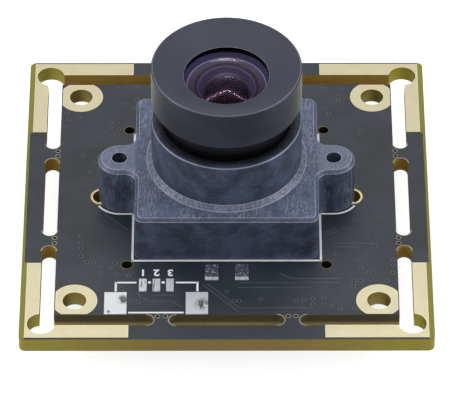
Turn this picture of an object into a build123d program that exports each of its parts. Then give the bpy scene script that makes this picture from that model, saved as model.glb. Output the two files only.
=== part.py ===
from build123d import *
import os
from math import sqrt

# Camera module with a screw-in lens, in millimetres.
# The origin is on the lens axis, in the board's front face.
# +Z looks out of the lens and +Y is the side of the cable socket.

# Board and its break-away frame
board_side = 38.0
slot_width = 1.35
frame_width = 1.8
board_thickness = 1.5
board_corner_radius = 0.6
middle_slot_length = 10.6
tab_width = 1.4

# Holes of the board
frame_hole_inset = 2.0
frame_hole_radius = 1.29
screw_hole_inset = 1.85
screw_hole_radius = 1.1
locating_hole_offset = 0.75
locating_hole_radius = 0.5
ear_slot_radius = 0.9
ear_slot_travel = 1.7

# Bare metal on the board
land_thickness = 0.035
frame_land_side_margin = 0.5
frame_land_end_margin = 0.2
frame_land_reach = 10.0
screw_land_width = 1.0
screw_land_margin = 0.1
pad_thickness = 0.08
signal_pad_size = (0.7, 1.65)
signal_pad_pitch = 1.25
signal_pad_count = 3
anchor_pad_clearance = 0.64
signal_pads_rise = 2.39
anchor_pad_size = (2.05, 2.87)
anchor_pad_spacing = 7.49
anchor_pad_inset = 1.48
lamp_pad_size = (1.25, 2.05)
lamp_pad_spacing = 2.78
lamp_pads_shift = 6.49
lamp_pad_offset = 1.77

# Lens holder
holder_side = 17.0
holder_height = 5.0
holder_corner_radius = 0.8
holder_edge_bevel = 0.3
ear_offset = 1.5
ear_radius = 2.0
ear_root_fillet = 1.0
ear_hole_radius = 0.73
collar_radius = 7.0
collar_height = 5.0
collar_foot_bevel = 0.45
collar_edge_break = 0.15
cavity_side = 12.8
cavity_height = 3.2
cavity_corner_radius = 1.0
shelf_thickness = 1.0
shelf_window_side = 8.0

# Screws that hold the lens holder
holder_screw_length = 5.0
holder_screw_head_radius = 1.45
holder_screw_head_height = 0.9
holder_screw_head_bevel = 0.25
holder_screw_cross = (1.7, 0.4)
holder_screw_cross_depth = 0.5
thread_clearance = 0.03

# Filter and image sensor
filter_lap = 0.9
filter_thickness = 0.3
sensor_package_size = (8.6, 7.6, 1.2)
sensor_rim_width = 0.8
sensor_floor_thickness = 0.5
sensor_die_size = (6.0, 4.4, 0.35)
sensor_glass_margin = 0.3
sensor_glass_thickness = 0.4

# Lens barrel
barrel_thread_radius = 5.97
barrel_clearance = 0.05
focus_room = 0.8
neck_length = 7.6
head_radius = 6.95
head_height = 3.8
rim_chamfer = 0.13
dish_depth = 1.15
mouth_radius = 3.95
lip_thickness = 0.55
glass_bore_radius = 4.63
glass_clearance = 0.03
glass_seat_gap = 0.02
barrel_end_chamfer = 0.3

# Glass elements from the front. A bulge stands out of its flat seat, and a negative one is hollow.
face_margin = 0.1
front_glass_edge = 1.5
front_glass_bulge = 0.62
front_glass_hollow = -1.25
rear_glass_edge = 1.4
rear_glass_bulge = 0.5
spacer_front_opening = 2.6
spacer_front_length = 1.4
stop_opening = 1.25
stop_thickness = 0.3
spacer_rear_opening = 3.1
spacer_rear_length = 2.5
retaining_ring_length = 1.1
retaining_ring_opening = 3.5
retaining_ring_notch = (0.8, 0.4)

# Image processor on the back
processor_side = 7.0
processor_height = 0.85
processor_land_reach = 1.0
processor_dimple_radius = 0.4
processor_dimple_depth = 0.05

# Flash memory on the back
lead_thickness = 0.15
flash_size = (4.9, 3.9, 1.5)
flash_standoff = 0.1
flash_leads_per_side = 4
flash_lead_pitch = 1.27
flash_lead_width = 0.42
flash_lead_reach = 1.05
flash_lead_foot = 0.5
flash_bevel = 0.3

# Clock crystal on the back
crystal_size = (3.2, 2.5)
crystal_base_height = 0.4
crystal_lid_inset = 0.2
crystal_lid_height = 0.35

# Voltage regulators on the back
regulator_size = (2.9, 1.6, 1.1)
regulator_standoff = 0.1
regulator_lead_pitch = 0.95
regulator_lead_width = 0.38
regulator_lead_reach = 0.6
regulator_lead_foot = 0.35

# Power inductor on the back
inductor_side = 4.2
inductor_height = 3.0
inductor_corner_radius = 0.7
inductor_terminal_length = 0.7
inductor_terminal_height = 0.25

# Capacitors and resistors on the back
capacitor_size = (1.6, 0.8, 0.8)
capacitor_cap_length = 0.35
capacitor_column_pitch = 1.7
capacitors_per_column = 4
capacitor_row_pitch = 2.2
capacitors_per_row = 5
resistor_size = (1.0, 0.5, 0.35)
resistor_cap_length = 0.25
resistor_row_pitch = 1.5
resistors_per_row = 7
component_gap = 1.2

# Cable socket on the back, its mouth facing +Y
socket_pin_count = 4
socket_pin_pitch = 1.25
socket_end_wall = 1.5
socket_height = 3.4
socket_depth = 4.6
socket_setback = 0.4
socket_side_wall = 0.7
socket_lower_wall = 0.5
socket_upper_wall = 0.6
socket_rear_wall = 1.0
socket_key_width = 1.1
socket_key_depth = 0.3
socket_pin_size = 0.35
socket_pin_length = 2.6
socket_tail_reach = 1.3
socket_tail_foot = 0.7
socket_tab_thickness = 0.3
socket_tab_foot = 1.1
socket_tab_height = 1.6
socket_tab_length = 2.4

# Places worked out from the sizes above
back_face = -board_thickness
frame_inner = board_side / 2 - frame_width
module_side = 2 * (frame_inner - slot_width)
slot_line = (module_side + slot_width) / 2
frame_hole_spacing = board_side - 2 * frame_hole_inset
screw_hole_spacing = module_side - 2 * screw_hole_inset
locating_hole_spacing = holder_side + 2 * locating_hole_offset
ear_spacing = holder_side + 2 * ear_offset
anchor_pad_y = anchor_pad_inset - module_side / 2
screw_land_edge = screw_hole_spacing / 2 - screw_hole_radius - screw_land_width
signal_pads_x = anchor_pad_clearance + (anchor_pad_size[0] + anchor_pad_spacing) / 2 - screw_land_edge
lamp_pads_x = signal_pads_x + lamp_pads_shift
lamp_pad_y = -holder_side / 2 - lamp_pad_offset
filter_side = shelf_window_side + 2 * filter_lap
collar_top = holder_height + collar_height
shelf_top = cavity_height + shelf_thickness
barrel_bottom = shelf_top + focus_room
head_underside = barrel_bottom + neck_length
rim_top = head_underside + head_height
lip_underside = rim_top - dish_depth - lip_thickness
glass_radius = glass_bore_radius - glass_clearance
processor_reach = processor_side / 2 + processor_land_reach
capacitor_column_x = processor_reach + component_gap + capacitor_size[0] / 2
capacitor_column_half = ((capacitors_per_column - 1) * capacitor_column_pitch + capacitor_size[1]) / 2
capacitor_row_y = processor_reach + 2 * component_gap + capacitor_size[1] / 2
resistor_row_y = -(processor_reach + component_gap + resistor_size[0] / 2)
inductor_y = resistor_row_y - resistor_size[0] / 2 - component_gap / 2 - inductor_side / 2
outer_column_edge = capacitor_column_x + capacitor_size[0] / 2
flash_x = -(outer_column_edge + component_gap / 2 + flash_size[0] / 2)
flash_y = capacitor_column_half + component_gap + flash_size[1] / 2 + flash_lead_reach
crystal_x = outer_column_edge + crystal_size[0] / 2
crystal_y = capacitor_column_half + component_gap + crystal_size[1] / 2
regulator_x = outer_column_edge + regulator_size[0] / 2
regulator_y = -(capacitor_column_half + component_gap + regulator_lead_reach + regulator_size[1] / 2)
socket_width = (socket_pin_count - 1) * socket_pin_pitch + 2 * socket_end_wall


# Shared helpers

def at_corners(shape, spacing):
    """Four copies of a sketch or solid on a square pattern, each mirrored into its own quarter."""
    placed = Pos(spacing / 2, spacing / 2) * shape
    right_pair = placed + mirror(placed, Plane.XZ)
    return right_pair + mirror(right_pair, Plane.YZ)


def on_four_sides(shape):
    """Four copies of a sketch, turned by quarters about the lens axis."""
    ring = shape
    for quarter in range(1, 4):
        ring = ring + Rot(0, 0, 90 * quarter) * shape
    return ring


def on_back(x, y, turn=0):
    """Location that stands a component, drawn upright at its own origin, on the board's back face."""
    return Pos(x, y, back_face) * Rot(180, 0, 0) * Rot(0, 0, turn)


def block(size, base=0.0):
    """Box centred in X and Y that stands on the given height."""
    length, width, height = size
    return Pos(0, 0, base) * Box(length, width, height, align=(Align.CENTER, Align.CENTER, Align.MIN))


def group(solids):
    """Separate solids kept together in one node."""
    return Compound(children=[solid for item in solids for solid in item.solids()])


def save(name, shape):
    export_step(shape, f"parts/{name}.step")


# Board

def frame_slots():
    """Routed slots between the module and its frame, which leave two tabs on each side."""
    middle = Pos(0, slot_line) * SlotOverall(middle_slot_length, slot_width)
    outer_start = middle_slot_length / 2 + tab_width
    outer_length = frame_inner - outer_start
    outer = Pos(outer_start + outer_length / 2, slot_line) * SlotOverall(outer_length, slot_width)
    return on_four_sides(middle + outer + mirror(outer, Plane.YZ))


def ear_slots():
    """Oblong slots under the ears, which also take a wider holder."""
    slot = SlotCenterToCenter(ear_slot_travel, 2 * ear_slot_radius)
    slot = Pos((ear_spacing + ear_slot_travel) / 2, 0) * slot
    return slot + mirror(slot, Plane.YZ)


def board_face():
    """Outline of the board with every slot and hole."""
    face = RectangleRounded(board_side, board_side, board_corner_radius) - frame_slots()
    face = face - at_corners(Circle(frame_hole_radius), frame_hole_spacing)
    face = face - at_corners(Circle(screw_hole_radius), screw_hole_spacing)
    face = face - at_corners(Circle(locating_hole_radius), locating_hole_spacing)
    return face - ear_slots()


def land_pattern(face):
    """Bare plated lands of the front: the frame's corners and the rims of the screw holes."""
    reach_x = frame_land_reach - frame_land_side_margin
    reach_y = frame_land_reach - frame_land_end_margin
    edge_x = board_side / 2 - frame_land_side_margin
    edge_y = board_side / 2 - frame_land_end_margin
    along_x = Pos(edge_x - reach_x / 2, (frame_inner + edge_y) / 2) * Rectangle(reach_x, edge_y - frame_inner)
    along_y = Pos((frame_inner + edge_x) / 2, edge_y - reach_y / 2) * Rectangle(edge_x - frame_inner, reach_y)
    frame_lands = at_corners(along_x + along_y, 0)
    clip_side = module_side - 2 * screw_land_margin
    screw_rims = at_corners(Circle(screw_hole_radius + screw_land_width), screw_hole_spacing)
    screw_rims = screw_rims & Rectangle(clip_side, clip_side)
    return (frame_lands + screw_rims) & face


def pad_pattern():
    """Tinned pads on the front, for a small socket and a lamp that aren't fitted."""
    pads = []
    for index in range(signal_pad_count):
        x = signal_pads_x + (index - (signal_pad_count - 1) / 2) * signal_pad_pitch
        pads.append(Pos(x, anchor_pad_y + signal_pads_rise) * Rectangle(*signal_pad_size))
    for side in (-0.5, 0.5):
        anchor_x = signal_pads_x + side * anchor_pad_spacing
        pads.append(Pos(anchor_x, anchor_pad_y) * Rectangle(*anchor_pad_size))
        lamp_x = lamp_pads_x + side * lamp_pad_spacing
        pads.append(Pos(lamp_x, lamp_pad_y) * Rectangle(*lamp_pad_size))
    return pads


def circuit_board(face):
    """Laminate with its mask, from the front face back."""
    return extrude(face, -board_thickness)


def tinned_pads(pads):
    """Solder-coated pads that stand slightly proud of the board."""
    return group([extrude(pad, pad_thickness) for pad in pads])


# Lens holder and its screws

def lens_holder():
    """Die-cast holder: a square foot with two ears, a threaded collar and a chamber over the sensor."""
    foot = RectangleRounded(holder_side, holder_side, holder_corner_radius)
    outline = foot + SlotCenterToCenter(ear_spacing, 2 * ear_radius)
    roots = [v for v in outline.vertices()
             if abs(abs(v.X) - holder_side / 2) < 0.01 and abs(abs(v.Y) - ear_radius) < 0.01]
    outline = fillet(roots, ear_root_fillet)
    body = extrude(outline, holder_height)
    body = chamfer(body.faces().sort_by(Axis.Z)[-1].edges(), holder_edge_bevel)
    body = body + Cylinder(collar_radius, collar_top, align=(Align.CENTER, Align.CENTER, Align.MIN))
    circles = body.edges().filter_by(GeomType.CIRCLE)
    collar_edges = circles.filter_by(lambda e: abs(e.radius - collar_radius) < 0.001)
    foot_edges = collar_edges.filter_by(lambda e: abs(e.center().Z - holder_height) < 0.01)
    body = chamfer(foot_edges, collar_foot_bevel)
    circles = body.edges().filter_by(GeomType.CIRCLE)
    top_edges = circles.filter_by(lambda e: abs(e.center().Z - collar_top) < 0.01)
    body = chamfer(top_edges, collar_edge_break)
    chamber = extrude(RectangleRounded(cavity_side, cavity_side, cavity_corner_radius), cavity_height)
    window = extrude(Rectangle(shelf_window_side, shelf_window_side), shelf_top)
    bore_radius = barrel_thread_radius + barrel_clearance
    bore = Pos(0, 0, shelf_top) * Cylinder(
        bore_radius, collar_top - shelf_top, align=(Align.CENTER, Align.CENTER, Align.MIN))
    body = body - chamber - window - bore
    ear_hole = Cylinder(ear_hole_radius, holder_height, align=(Align.CENTER, Align.CENTER, Align.MIN))
    for side in (-0.5, 0.5):
        body = body - Pos(side * ear_spacing, 0) * ear_hole
    return body


def holder_screw():
    """Pan-head screw that comes up through the board into an ear, with a cross recess."""
    shank_radius = ear_hole_radius - thread_clearance
    shank = Pos(0, 0, back_face) * Cylinder(
        shank_radius, holder_screw_length, align=(Align.CENTER, Align.CENTER, Align.MIN))
    head = Pos(0, 0, back_face - holder_screw_head_height) * Cylinder(
        holder_screw_head_radius, holder_screw_head_height, align=(Align.CENTER, Align.CENTER, Align.MIN))
    head = chamfer(head.edges().sort_by(Axis.Z)[0], holder_screw_head_bevel)
    length, width = holder_screw_cross
    cross = Rectangle(length, width) + Rectangle(width, length)
    recess = Pos(0, 0, back_face - holder_screw_head_height) * extrude(cross, holder_screw_cross_depth)
    return head + shank - recess


# Filter and image sensor

def infrared_filter():
    """Filter plate stuck under the holder's shelf."""
    return block((filter_side, filter_side, filter_thickness), cavity_height - filter_thickness)


def sensor_package():
    """Ceramic tray that carries the image sensor's die."""
    length, width, height = sensor_package_size
    well = (length - 2 * sensor_rim_width, width - 2 * sensor_rim_width, height)
    return block(sensor_package_size) - block(well, sensor_floor_thickness)


def sensor_die():
    return block(sensor_die_size, sensor_floor_thickness)


def sensor_cover_glass():
    length, width, height = sensor_package_size
    size = (length - 2 * sensor_glass_margin, width - 2 * sensor_glass_margin, sensor_glass_thickness)
    return block(size, height)


# Lens

def lens_barrel():
    """Turned barrel: threaded neck, wider head with a dished front and a lip over the front glass."""
    dish_bottom = rim_top - dish_depth
    points = [
        (glass_bore_radius, barrel_bottom),
        (barrel_thread_radius - barrel_end_chamfer, barrel_bottom),
        (barrel_thread_radius, barrel_bottom + barrel_end_chamfer),
        (barrel_thread_radius, head_underside),
        (head_radius, head_underside),
        (head_radius, rim_top - rim_chamfer),
        (head_radius - rim_chamfer, rim_top),
        (mouth_radius, dish_bottom),
        (mouth_radius, lip_underside),
        (glass_bore_radius, lip_underside),
    ]
    profile = Plane.XZ * make_face(Polyline(*points, close=True))
    return revolve(profile, Axis.Z)


def spherical_arc(level, clear_radius, bulge):
    """Arc from the axis to the edge of a spherical face, whose flat seat is at the level."""
    sphere = (clear_radius**2 + bulge**2) / (2 * abs(bulge))
    cap = sqrt(sphere**2 - clear_radius**2 / 4) - (sphere - abs(bulge))
    middle = (clear_radius / 2, level + (cap if bulge > 0 else -cap))
    return ThreePointArc((0, level + bulge), middle, (clear_radius, level))


def glass_element(top, edge, front, rear=None):
    """Round element with a flat seat round each spherical face, given as clear radius and bulge.
    A face that isn't given is flat. A rear bulge stands out backwards."""
    bottom = top - edge
    front_clear, front_bulge = front
    outline = [
        spherical_arc(top, front_clear, front_bulge),
        Polyline((front_clear, top), (glass_radius, top), (glass_radius, bottom)),
    ]
    axis_bottom = bottom
    if rear:
        rear_clear, rear_bulge = rear
        axis_bottom = bottom - rear_bulge
        outline.append(Line((glass_radius, bottom), (rear_clear, bottom)))
        outline.append(spherical_arc(bottom, rear_clear, -rear_bulge))
    else:
        outline.append(Line((glass_radius, bottom), (0, bottom)))
    outline.append(Line((0, axis_bottom), (0, top + front_bulge)))
    return revolve(Plane.XZ * make_face(outline), Axis.Z)


def aperture_spacer(top):
    """Turned spacer between the two elements, with the aperture stop as a web inside it."""
    stop_top = top - spacer_front_length
    stop_bottom = stop_top - stop_thickness
    bottom = stop_bottom - spacer_rear_length
    points = [
        (glass_radius, top),
        (spacer_front_opening, top),
        (spacer_front_opening, stop_top),
        (stop_opening, stop_top),
        (stop_opening, stop_bottom),
        (spacer_rear_opening, stop_bottom),
        (spacer_rear_opening, bottom),
        (glass_radius, bottom),
    ]
    return revolve(Plane.XZ * make_face(Polyline(*points, close=True)), Axis.Z)


def retaining_ring(top):
    """Ring screwed in behind the rear glass, with two notches for the key."""
    bottom = top - retaining_ring_length
    face = Circle(glass_radius) - Circle(retaining_ring_opening)
    ring = Pos(0, 0, bottom) * extrude(face, retaining_ring_length)
    width, depth = retaining_ring_notch
    notches = block((2 * glass_bore_radius, width, depth), bottom)
    return ring - notches


def optical_stack():
    """Elements and spacer from the lip down, each seated on the next. Gives names and solids."""
    mouth_clear = mouth_radius - glass_seat_gap
    hollow_clear = spacer_front_opening - face_margin
    ring_clear = retaining_ring_opening - face_margin
    stack = {}
    level = lip_underside - glass_seat_gap
    hollow = (hollow_clear, front_glass_hollow)
    stack["front_lens"] = glass_element(level, front_glass_edge, (mouth_clear, front_glass_bulge), hollow)
    level = level - front_glass_edge
    stack["aperture_spacer"] = aperture_spacer(level)
    level = level - spacer_front_length - stop_thickness - spacer_rear_length
    flipped = glass_element(0, rear_glass_edge, (ring_clear, rear_glass_bulge))
    level = level - rear_glass_edge
    stack["rear_lens"] = Pos(0, 0, level) * Rot(180, 0, 0) * flipped
    level = level - glass_seat_gap
    stack["lens_retaining_ring"] = retaining_ring(level)
    return stack


# Components on the back, each drawn upright on its own origin

def gull_lead(body_half, reach, foot, shoulder_height, width):
    """Bent lead that leaves a body's side at mid height and ends in a flat foot."""
    tip = body_half + reach
    heel = tip - foot
    points = [
        (body_half, shoulder_height),
        (heel, shoulder_height),
        (heel + lead_thickness, lead_thickness),
        (tip, lead_thickness),
        (tip, 0),
        (heel, 0),
        (heel - lead_thickness, shoulder_height - lead_thickness),
        (body_half, shoulder_height - lead_thickness),
    ]
    profile = Plane.XZ * make_face(Polyline(*points, close=True))
    return extrude(profile, width / 2, both=True)


def lead_row(lead, count, pitch):
    """Leads in a row along Y."""
    return [Pos(0, (index - (count - 1) / 2) * pitch) * lead for index in range(count)]


def image_processor():
    """Leadless package, with a dimple at its first contact."""
    body = block((processor_side, processor_side, processor_height))
    inset = processor_side / 2 - 2 * processor_dimple_radius
    dimple = Cylinder(processor_dimple_radius, 2 * processor_dimple_depth)
    return body - Pos(-inset, -inset, processor_height) * dimple


def flash_memory():
    length, width, height = flash_size
    body = block((length, width, height), flash_standoff)
    pin_one_edge = body.edges().filter_by(Axis.Y).sort_by(Axis.Z)[-2:].sort_by(Axis.X)[0]
    return chamfer(pin_one_edge, flash_bevel)


def flash_leads():
    length, width, height = flash_size
    shoulder = flash_standoff + height / 2
    lead = gull_lead(width / 2, flash_lead_reach, flash_lead_foot, shoulder, flash_lead_width)
    row = lead_row(lead, flash_leads_per_side, flash_lead_pitch)
    return [Rot(0, 0, turn) * item for turn in (90, 270) for item in row]


def regulator_body():
    length, width, height = regulator_size
    return block((length, width, height - regulator_standoff), regulator_standoff)


def regulator_leads():
    """Three leads on one long side and two on the other."""
    length, width, height = regulator_size
    shoulder = height / 2 + regulator_standoff
    lead = gull_lead(width / 2, regulator_lead_reach, regulator_lead_foot, shoulder, regulator_lead_width)
    three = lead_row(lead, 3, regulator_lead_pitch)
    two = lead_row(lead, 2, 2 * regulator_lead_pitch)
    return [Rot(0, 0, 90) * item for item in three] + [Rot(0, 0, 270) * item for item in two]


def crystal_base():
    length, width = crystal_size
    return block((length, width, crystal_base_height))


def crystal_lid():
    length, width = crystal_size
    lid = RectangleRounded(length - 2 * crystal_lid_inset, width - 2 * crystal_lid_inset, crystal_lid_inset)
    return Pos(0, 0, crystal_base_height) * extrude(lid, crystal_lid_height)


def inductor_terminals():
    """Plated ends wrapped under the inductor's two sides."""
    width = inductor_side - 2 * inductor_corner_radius
    foot = block((inductor_terminal_length, width, inductor_terminal_height))
    offset = (inductor_side - inductor_terminal_length) / 2
    return [Pos(side * offset, 0) * foot for side in (-1, 1)]


def power_inductor():
    """Shielded block with rounded corners and seats for its two terminals."""
    plan = RectangleRounded(inductor_side, inductor_side, inductor_corner_radius)
    body = extrude(plan, inductor_height)
    for terminal in inductor_terminals():
        body = body - terminal
    return body


def chip_body(size, cap_length):
    length, width, height = size
    return block((length - 2 * cap_length, width, height))


def chip_caps(size, cap_length):
    length, width, height = size
    cap = block((cap_length, width, height))
    return [Pos(side * (length - cap_length) / 2, 0) * cap for side in (-1, 1)]


def capacitor_places():
    """Two columns beside the processor and a row above it."""
    places = []
    for index in range(capacitors_per_column):
        y = (index - (capacitors_per_column - 1) / 2) * capacitor_column_pitch
        places.append(on_back(capacitor_column_x, y))
        places.append(on_back(-capacitor_column_x, y))
    for index in range(capacitors_per_row):
        x = (index - (capacitors_per_row - 1) / 2) * capacitor_row_pitch
        places.append(on_back(x, capacitor_row_y))
    return places


def resistor_places():
    places = []
    for index in range(resistors_per_row):
        x = (index - (resistors_per_row - 1) / 2) * resistor_row_pitch
        places.append(on_back(x, resistor_row_y, 90))
    return places


# Cable socket, drawn with its mouth towards -Y at the origin and its rear towards +Y

def socket_contact():
    """Square pin that crosses the mouth, passes the rear wall and bends down to a foot."""
    pin_top = (socket_height + socket_lower_wall - socket_upper_wall + socket_pin_size) / 2
    pin_bottom = pin_top - socket_pin_size
    front = socket_depth - socket_rear_wall - socket_pin_length
    bend = socket_depth + socket_tail_reach - socket_tail_foot
    tip = socket_depth + socket_tail_reach
    points = [
        (front, pin_top),
        (bend, pin_top),
        (bend, socket_pin_size),
        (tip, socket_pin_size),
        (tip, 0),
        (bend - socket_pin_size, 0),
        (bend - socket_pin_size, pin_bottom),
        (front, pin_bottom),
    ]
    profile = Plane.YZ * make_face(Polyline(*points, close=True))
    return extrude(profile, socket_pin_size / 2, both=True)


def socket_contacts():
    first = -(socket_pin_count - 1) / 2 * socket_pin_pitch
    contact = socket_contact()
    return [Pos(first + index * socket_pin_pitch, 0) * contact for index in range(socket_pin_count)]


def socket_housing():
    """Moulded shroud, open at the mouth, with two key grooves in its upper wall."""
    body = Pos(0, socket_depth / 2) * block((socket_width, socket_depth, socket_height))
    room_length = socket_width - 2 * socket_side_wall
    room_depth = socket_depth - socket_rear_wall
    room_height = socket_height - socket_lower_wall - socket_upper_wall
    room = Pos(0, room_depth / 2) * block((room_length, room_depth, room_height), socket_lower_wall)
    body = body - room
    groove_base = socket_height - socket_upper_wall
    groove = Pos(0, room_depth / 2) * block((socket_key_width, room_depth, socket_key_depth), groove_base)
    for side in (-0.5, 0.5):
        body = body - Pos(side * (room_length - socket_key_width), 0) * groove
    for contact in socket_contacts():
        body = body - contact
    return body


def socket_tabs():
    """Metal tabs beside the housing, soldered to the board by their feet."""
    plate = block((socket_tab_thickness, socket_tab_length, socket_tab_height))
    foot = Pos(socket_tab_foot / 2, 0) * block((socket_tab_foot, socket_tab_length, socket_tab_thickness))
    tab = Pos((socket_width + socket_tab_thickness) / 2, socket_depth / 2) * (plate + foot)
    return [tab, mirror(tab, Plane.YZ)]


def socket_location():
    """Stands the socket on the back with its mouth just inside the module's edge."""
    return on_back(0, module_side / 2 - socket_setback)


def main():
    os.makedirs("parts", exist_ok=True)
    face = board_face()
    save("circuit_board", circuit_board(face))
    save("front_gold_lands", group([extrude(land_pattern(face), land_thickness)]))
    save("front_tinned_pads", tinned_pads(pad_pattern()))

    save("lens_holder", lens_holder())
    save("holder_screws", group([Pos(side * ear_spacing, 0) * holder_screw() for side in (-0.5, 0.5)]))
    save("infrared_filter", infrared_filter())
    save("sensor_package", sensor_package())
    save("sensor_die", sensor_die())
    save("sensor_cover_glass", sensor_cover_glass())
    save("lens_barrel", lens_barrel())
    for name, shape in optical_stack().items():
        save(name, shape)

    save("image_processor", on_back(0, 0) * image_processor())
    flash_at = on_back(flash_x, flash_y)
    save("flash_memory", flash_at * flash_memory())
    save("flash_leads", group([flash_at * lead for lead in flash_leads()]))
    crystal_at = on_back(crystal_x, crystal_y)
    save("crystal_base", crystal_at * crystal_base())
    save("crystal_lid", crystal_at * crystal_lid())
    regulators_at = [on_back(side * regulator_x, regulator_y) for side in (-1, 1)]
    save("regulator_bodies", group([place * regulator_body() for place in regulators_at]))
    save("regulator_leads", group([place * lead for place in regulators_at for lead in regulator_leads()]))
    inductor_at = on_back(0, inductor_y)
    save("power_inductor", inductor_at * power_inductor())
    save("inductor_terminals", group([inductor_at * item for item in inductor_terminals()]))

    capacitor = chip_body(capacitor_size, capacitor_cap_length)
    capacitor_caps = chip_caps(capacitor_size, capacitor_cap_length)
    save("capacitor_bodies", group([place * capacitor for place in capacitor_places()]))
    save("capacitor_end_caps", group([place * cap for place in capacitor_places() for cap in capacitor_caps]))
    resistor = chip_body(resistor_size, resistor_cap_length)
    resistor_caps = chip_caps(resistor_size, resistor_cap_length)
    save("resistor_bodies", group([place * resistor for place in resistor_places()]))
    save("resistor_end_caps", group([place * cap for place in resistor_places() for cap in resistor_caps]))

    socket_at = socket_location()
    save("socket_housing", socket_at * socket_housing())
    save("socket_contacts", group([socket_at * contact for contact in socket_contacts()]))
    save("socket_anchor_tabs", group([socket_at * tab for tab in socket_tabs()]))


if __name__ == "__main__":
    main()
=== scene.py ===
"""Looks of a small camera module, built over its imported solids.

Sizes are in millimetres, in the solids' own frame: the origin is on the lens axis in the board's front
face, +Z looks out of the lens and +Y is the side of the cable socket.
"""

import logging
import math
from collections.abc import Callable, Iterable, Sequence
from dataclasses import dataclass
from enum import Enum

import bmesh
import bpy
from mathutils import Matrix, Vector


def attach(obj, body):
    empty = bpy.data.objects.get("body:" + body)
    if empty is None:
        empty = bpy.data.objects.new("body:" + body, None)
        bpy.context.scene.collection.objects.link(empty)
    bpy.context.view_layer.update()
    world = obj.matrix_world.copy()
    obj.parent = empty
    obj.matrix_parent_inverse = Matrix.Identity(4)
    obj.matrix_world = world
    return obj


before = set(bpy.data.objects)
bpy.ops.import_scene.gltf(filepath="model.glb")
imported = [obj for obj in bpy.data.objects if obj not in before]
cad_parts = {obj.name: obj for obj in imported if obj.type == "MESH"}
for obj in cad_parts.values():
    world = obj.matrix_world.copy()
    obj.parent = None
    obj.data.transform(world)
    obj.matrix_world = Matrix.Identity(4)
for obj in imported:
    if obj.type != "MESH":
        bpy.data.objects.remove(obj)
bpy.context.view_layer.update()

MM = 0.001
MERGE_WITHIN = 0.0005 * MM
FULL_TURN = 360.0
BOARD_BACK = -1.5
Point = tuple[float, float]
Triple = tuple[float, float, float]
Colour = Triple
Piece = bpy.types.Object
Socket = bpy.types.NodeSocket
log = logging.getLogger("camera_module")


class Body(Enum):
    """Bodies that the scene's own pieces ride on."""

    BOARD = "board"
    STACK = "optical_stack"


class Face(Enum):
    """Side of the board that a piece lies on, with its level and its outward sense."""

    FRONT = (0.0, 1.0)
    BACK = (BOARD_BACK, -1.0)

    @property
    def level(self) -> float:
        """Height of the face."""
        return self.value[0]

    @property
    def sense(self) -> float:
        """Plus one towards +Z, or minus one."""
        return self.value[1]


# Modelling


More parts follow.
